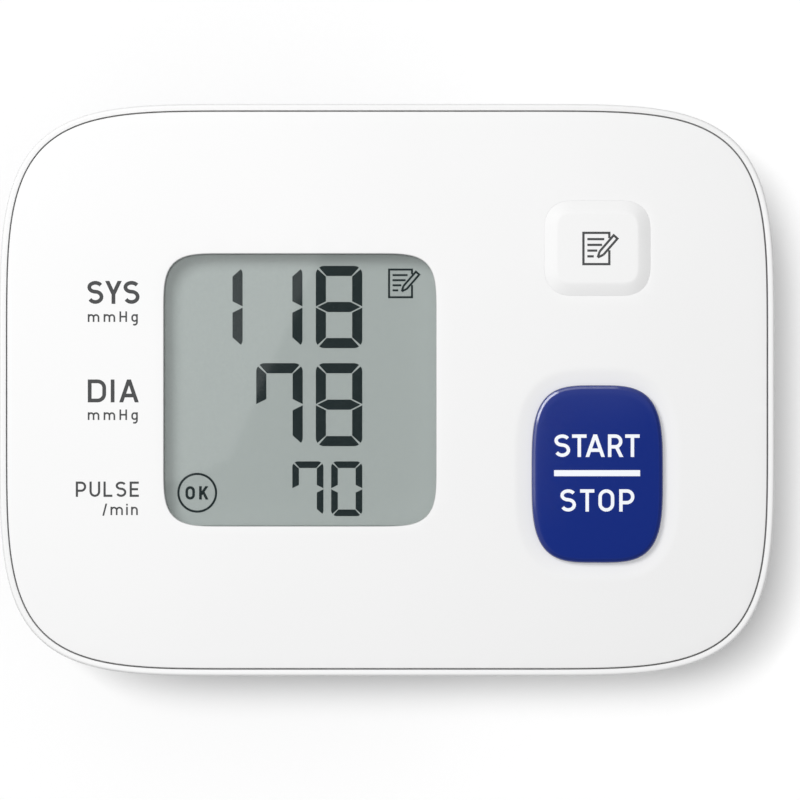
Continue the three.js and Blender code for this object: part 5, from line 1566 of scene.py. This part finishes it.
def stitch_shape():
    """One stitch: a slim spindle, six-sided, flat enough to sink into the cloth."""
    place = np.array([-1.0, -0.85, -0.45, 0.45, 0.85, 1.0])
    girth = np.array([0.0, 0.65, 1.0, 1.0, 0.65, 0.0])
    angle = np.linspace(0, 2 * np.pi, 6, endpoint=False)
    half = STITCH_LENGTH / 2
    points = np.stack([
        np.broadcast_to(place[:, None] * half, (6, 6)),
        STITCH_WIDTH / 2 * girth[:, None] * np.cos(angle),
        STITCH_HEIGHT / 2 * girth[:, None] * np.sin(angle),
    ], axis=-1)
    return Skin().rows(points)


def hook_shape():
    """One hook of the hook tape: a square stalk that bends over at its tip."""
    path = np.array([(0.0, 0.0), (0.0, -0.16), (0.06, -0.28), (0.2, -0.33), (0.32, -0.24)])
    width = np.array([0.2, 0.15, 0.13, 0.12, 0.08]) / 2
    lean = np.radians([0, 10, 45, 90, 130])
    square = ((-1, -1), (1, -1), (1, 1), (-1, 1))
    rows = []
    for (along, out), half, angle in zip(path, width, lean):
        along_step, out_step = half * math.cos(angle), half * math.sin(angle)
        rows.append([(along + a * along_step, b * half, out + a * out_step) for a, b in square])
    return Skin().rows(rows).lid(rows[0]).lid(rows[-1])


def scattered(shape, spots, along, offset):
    """Copies of a small shape on the cloth: its first axis along the given direction, its third outwards from
    an offset that follows the length along the cloth."""
    points = np.concatenate(shape.points)
    across = np.column_stack([-along[:, 1], along[:, 0]])
    flat = spots[:, None] + points[None, :, :1] * along[:, None] + points[None, :, 1:2] * across[:, None]
    out = offset(flat[..., 0]) + points[None, :, 2]
    placed = COURSE.wrap(flat[..., 0], flat[..., 1], out).reshape(-1, 3)
    shift = np.arange(len(spots))[:, None, None] * len(points)
    return Skin().add(placed, (np.array(shape.faces)[None] + shift).reshape(-1, 4))


def fold_blend(made):
    """Bakes the placement of a piece beyond the fold between the cuff and its closing flap into its mesh."""
    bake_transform(made)


def closing_flap():
    """The flap beyond the fold: one padded strip with its tape and its seam, each with its placement baked
    into its mesh.
    """
    inner_face = CUFF - FLAP
    strip = Strip(STRAP, joint_at, course_end - EDGE_INSET, rows=90, columns=45)
    sunk = FACE_SINK + strip.dip(strip.half - EDGE_INSET)
    skin = strip.skin(CUFF - sunk, inner_face + sunk)
    flap = piece("closing_flap_cloth", skin, LOOP_NYLON, stands_for=["cuff_flap"])
    tape = piece("closing_flap_tape", tape_skin(STRAP, inner_face, CUFF), GROSGRAIN)
    seam = piece("closing_flap_seam", stitches(STRAP, outer_seam), THREAD)
    for made in (flap, tape, seam):
        fold_blend(made)


def hook_tape():
    """Woven base of the hook tape with its rows of small hooks, on the flap's inner face: every other row is
    shifted by half a pitch and its hooks turn the other way."""
    out = flap_y - hook_low[1]
    base = out - HOOK_BASE
    left, right = hook_low[0], hook_high[0]
    start = COURSE.length_at((flap_y, hook_low[2]))
    end = start + hook_high[2] - hook_low[2]
    loop = rounded([(start, left), (end, left), (end, right), (start, right)], HOOK_BASE_CORNER)
    profile = [(0, out), (0, base + HOOK_BASE_EDGE), (HOOK_BASE_EDGE, base)]
    skin = Skin().tower([COURSE.wrap(*loop.moved(inset).T, offset) for inset, offset in profile])
    x, y = np.meshgrid(np.arange(start + HOOK_START[0], end - HOOK_END[0], HOOK_PITCH),
                       np.arange(left + HOOK_START[1], right - HOOK_END[1], HOOK_PITCH))
    odd = np.arange(len(x))[:, None] % 2 == 1
    spots = np.column_stack([(x + odd * HOOK_PITCH / 2).ravel(), y.ravel()])
    way = np.broadcast_to(np.where(odd, 1.0, -1.0), x.shape).ravel()
    along = np.column_stack([way, np.zeros(len(way))])
    keep = inside(loop.moved(HOOK_MARGIN), spots)

    def on_base(lengths):
        return np.full(np.shape(lengths), base)
    skin.join(scattered(hook_shape(), spots[keep], along[keep], on_base))
    piece("closing_hook_tape", skin, HOOK_NYLON, "closing_flap", ["hook_tape"])


cuff_cover()
cuff_lining()
band_tape = tape_skin(BAND, wrist_side(BAND.points[:, 0]), CUFF)
piece("cuff_binding_tape", band_tape, GROSGRAIN, "monitor", ["cuff_binding"])
piece("cuff_outer_seam", stitches(BAND, outer_seam), THREAD, "monitor")
piece("cuff_inner_seam", stitches(BAND, inner_seam), THREAD, "monitor")
closing_flap()
hook_tape()


# Studio: pale floor, white surroundings, soft light from the upper left

def unscattered(tree):
    """1 for a ray that the eye sees directly, in a gloss or through the window, and 0 for light on its way;
    and 1 for a gloss alone."""
    rays = node(tree, "LightPath").node.outputs
    glossy = rays["Is Glossy Ray"]
    seen = node(tree, "Math", {0: rays["Is Camera Ray"], 1: glossy}, operation="MAXIMUM")
    seen = node(tree, "Math", {0: seen, 1: rays["Is Transmission Ray"]}, operation="MAXIMUM")
    first = node(tree, "Math", {0: rays["Diffuse Depth"], 1: 0.5}, operation="LESS_THAN")
    return node(tree, "Math", {0: seen, 1: first}, operation="MULTIPLY"), glossy


def flat_panel(name, corners, height):
    """A flat polygon at a height, in millimetres, as an object of the studio."""
    mesh = bpy.data.meshes.new(name)
    mesh.from_pydata(level(np.array(corners, float), height) * MM, [], [list(range(len(corners)))])
    made = object_of(name, mesh)
    return made


def studio_floor():
    """A pale floor with a faint glow, which keeps the shadow; the light that it sends back up is that of a
    greyer floor, and from below it is clear, so that the underside can be seen."""
    reach = FLOOR_REACH
    corners = [(-reach, -reach), (reach, -reach), (reach, reach), (-reach, reach)]
    made = flat_panel("floor", corners, FLOOR_HEIGHT)
    finish, tree, shader = blank("studio_floor")
    seen = unscattered(tree)[0]
    grey, pale = linear("#bcbcbc"), linear("#f2f2f2")
    fit_sockets(tree, shader, {
        "Base Color": node(tree, "Mix", {0: seen, 6: grey, 7: pale}, 2, data_type="RGBA"),
        "Roughness": 0.9,
        "Specular IOR Level": 0.0,
        "Emission Color": linear("#ffffff"),
        "Emission Strength": FLOOR_GLOW,
    })
    under = node(tree, "NewGeometry", out="Backfacing")
    mix = node(tree, "MixShader", {0: under, 1: shader.outputs[0], 2: node(tree, "BsdfTransparent")})
    fit_sockets(tree, tree.nodes["Material Output"], {"Surface": mix})
    made.data.materials.append(finish)
    return made


def dark_flag():
    """A black screen above the camera, seen only in reflections: it keeps the glare off the blue key and most
    of the display, and its slanting edge is the edge of the glare on the display."""
    made = flat_panel("flag", FLAG_CORNERS, FLAG_HEIGHT)
    finish, tree, shader = blank("black_screen")
    fit_sockets(tree, shader, {"Base Color": linear("#000000"), "Roughness": 1.0, "Specular IOR Level": 0.0})
    made.data.materials.append(finish)
    for ray in ("camera", "diffuse", "volume_scatter", "shadow"):
        setattr(made, "visible_" + ray, False)


def surroundings():
    """A white room that lights the object softly; in reflections it is darker towards the lower right."""
    world = bpy.data.worlds.new("white_room")
    bpy.context.scene.world = world
    world.use_nodes = True
    tree = world.node_tree
    seen, glossy = unscattered(tree)
    way = node(tree, "TexCoord", out="Generated")
    side = node(tree, "VectorMath", {0: way, 1: BRIGHT_SIDE}, "Value", operation="DOT_PRODUCT")
    shade = node(tree, "MapRange", {
        "Value": side, "From Min": -0.3, "From Max": 0.7, "To Min": 0.06, "To Max": 0.8,
    })
    shown = node(tree, "Mix", {0: glossy, 2: 1.0, 3: shade})
    through = node(tree, "LightPath", out="Is Transmission Ray")
    lit = node(tree, "Mix", {0: through, 2: ROOM_LIGHT, 3: 0.0})
    fit_sockets(tree, tree.nodes["Background"], {
        "Color": linear("#ffffff"),
        "Strength": node(tree, "Mix", {0: seen, 2: lit, 3: shown}),
    })


def lamp(name, place, size, power, gloss_only=False, glossy=True, shines_on=(), spares=()):
    """A soft rectangular light at a place, in metres, aimed at the front; it may show only as a gloss, or not
    as one, and may shine on some objects alone, or on all but some."""
    light = bpy.data.lights.new(name, "AREA")
    light.shape = "RECTANGLE"
    light.size, light.size_y = size
    light.energy = power
    made = object_of(name, light)
    made.location = place
    made.rotation_euler = (FRONT - Vector(place)).to_track_quat("-Z", "Y").to_euler()
    made.visible_diffuse = not gloss_only
    made.visible_glossy = glossy
    made.visible_transmission = False
    if shines_on or spares:
        named = bpy.data.collections.new(name + "_range")
        made.light_linking.receiver_collection = named
        for other in [*shines_on, *spares]:
            named.objects.link(other)
        for row in named.collection_objects:
            row.light_linking.link_state = "INCLUDE" if shines_on else "EXCLUDE"


def camera():
    """Straight down on to the front, far enough away that the picture's width is the photograph's."""
    aim = (PICTURE / 2 - OBJECT_PIXEL) / PIXELS_PER_MM * np.array([1, -1])
    away = PICTURE / PIXELS_PER_MM * LENS_LENGTH / SENSOR
    lens = bpy.data.cameras.new("camera")
    lens.lens = LENS_LENGTH
    lens.sensor_width = SENSOR
    lens.clip_end = CAMERA_REACH
    made = object_of("camera", lens)
    made.location = (aim[0] * MM, aim[1] * MM, (rim_top + away) * MM)
    bpy.context.scene.camera = made


floor = studio_floor()
dark_flag()
surroundings()
# Lamps: place and size in metres, and power in watts
lamp("overhead_light", (-0.03, 0.025, 1.35), (0.11, 0.11), 7.2, glossy=False, spares=[floor])
lamp("window_light", (-0.13, 0.108, 0.33), (0.13, 0.13), 0.44, glossy=False, spares=[floor])
# The floor has an overhead light of its own, stronger and further aside: white round a full shadow
lamp("floor_light", (-0.08, 0.056, 1.35), (0.115, 0.115), 12.7, glossy=False, shines_on=[floor])
# Two strips, too low to show in the start key's flat top, give the gloss along its edges and at its upper
# left corner
lamp("edge_strip", (-0.33, 0.345, 0.106), (1.2, 0.07), 0.7, gloss_only=True, shines_on=[start_button])
lamp("corner_strip", (-0.36, 0.312, 0.106), (0.5, 0.06), 1.1, gloss_only=True, shines_on=[start_button])
camera()
bpy.context.scene.view_settings.view_transform = "Standard"
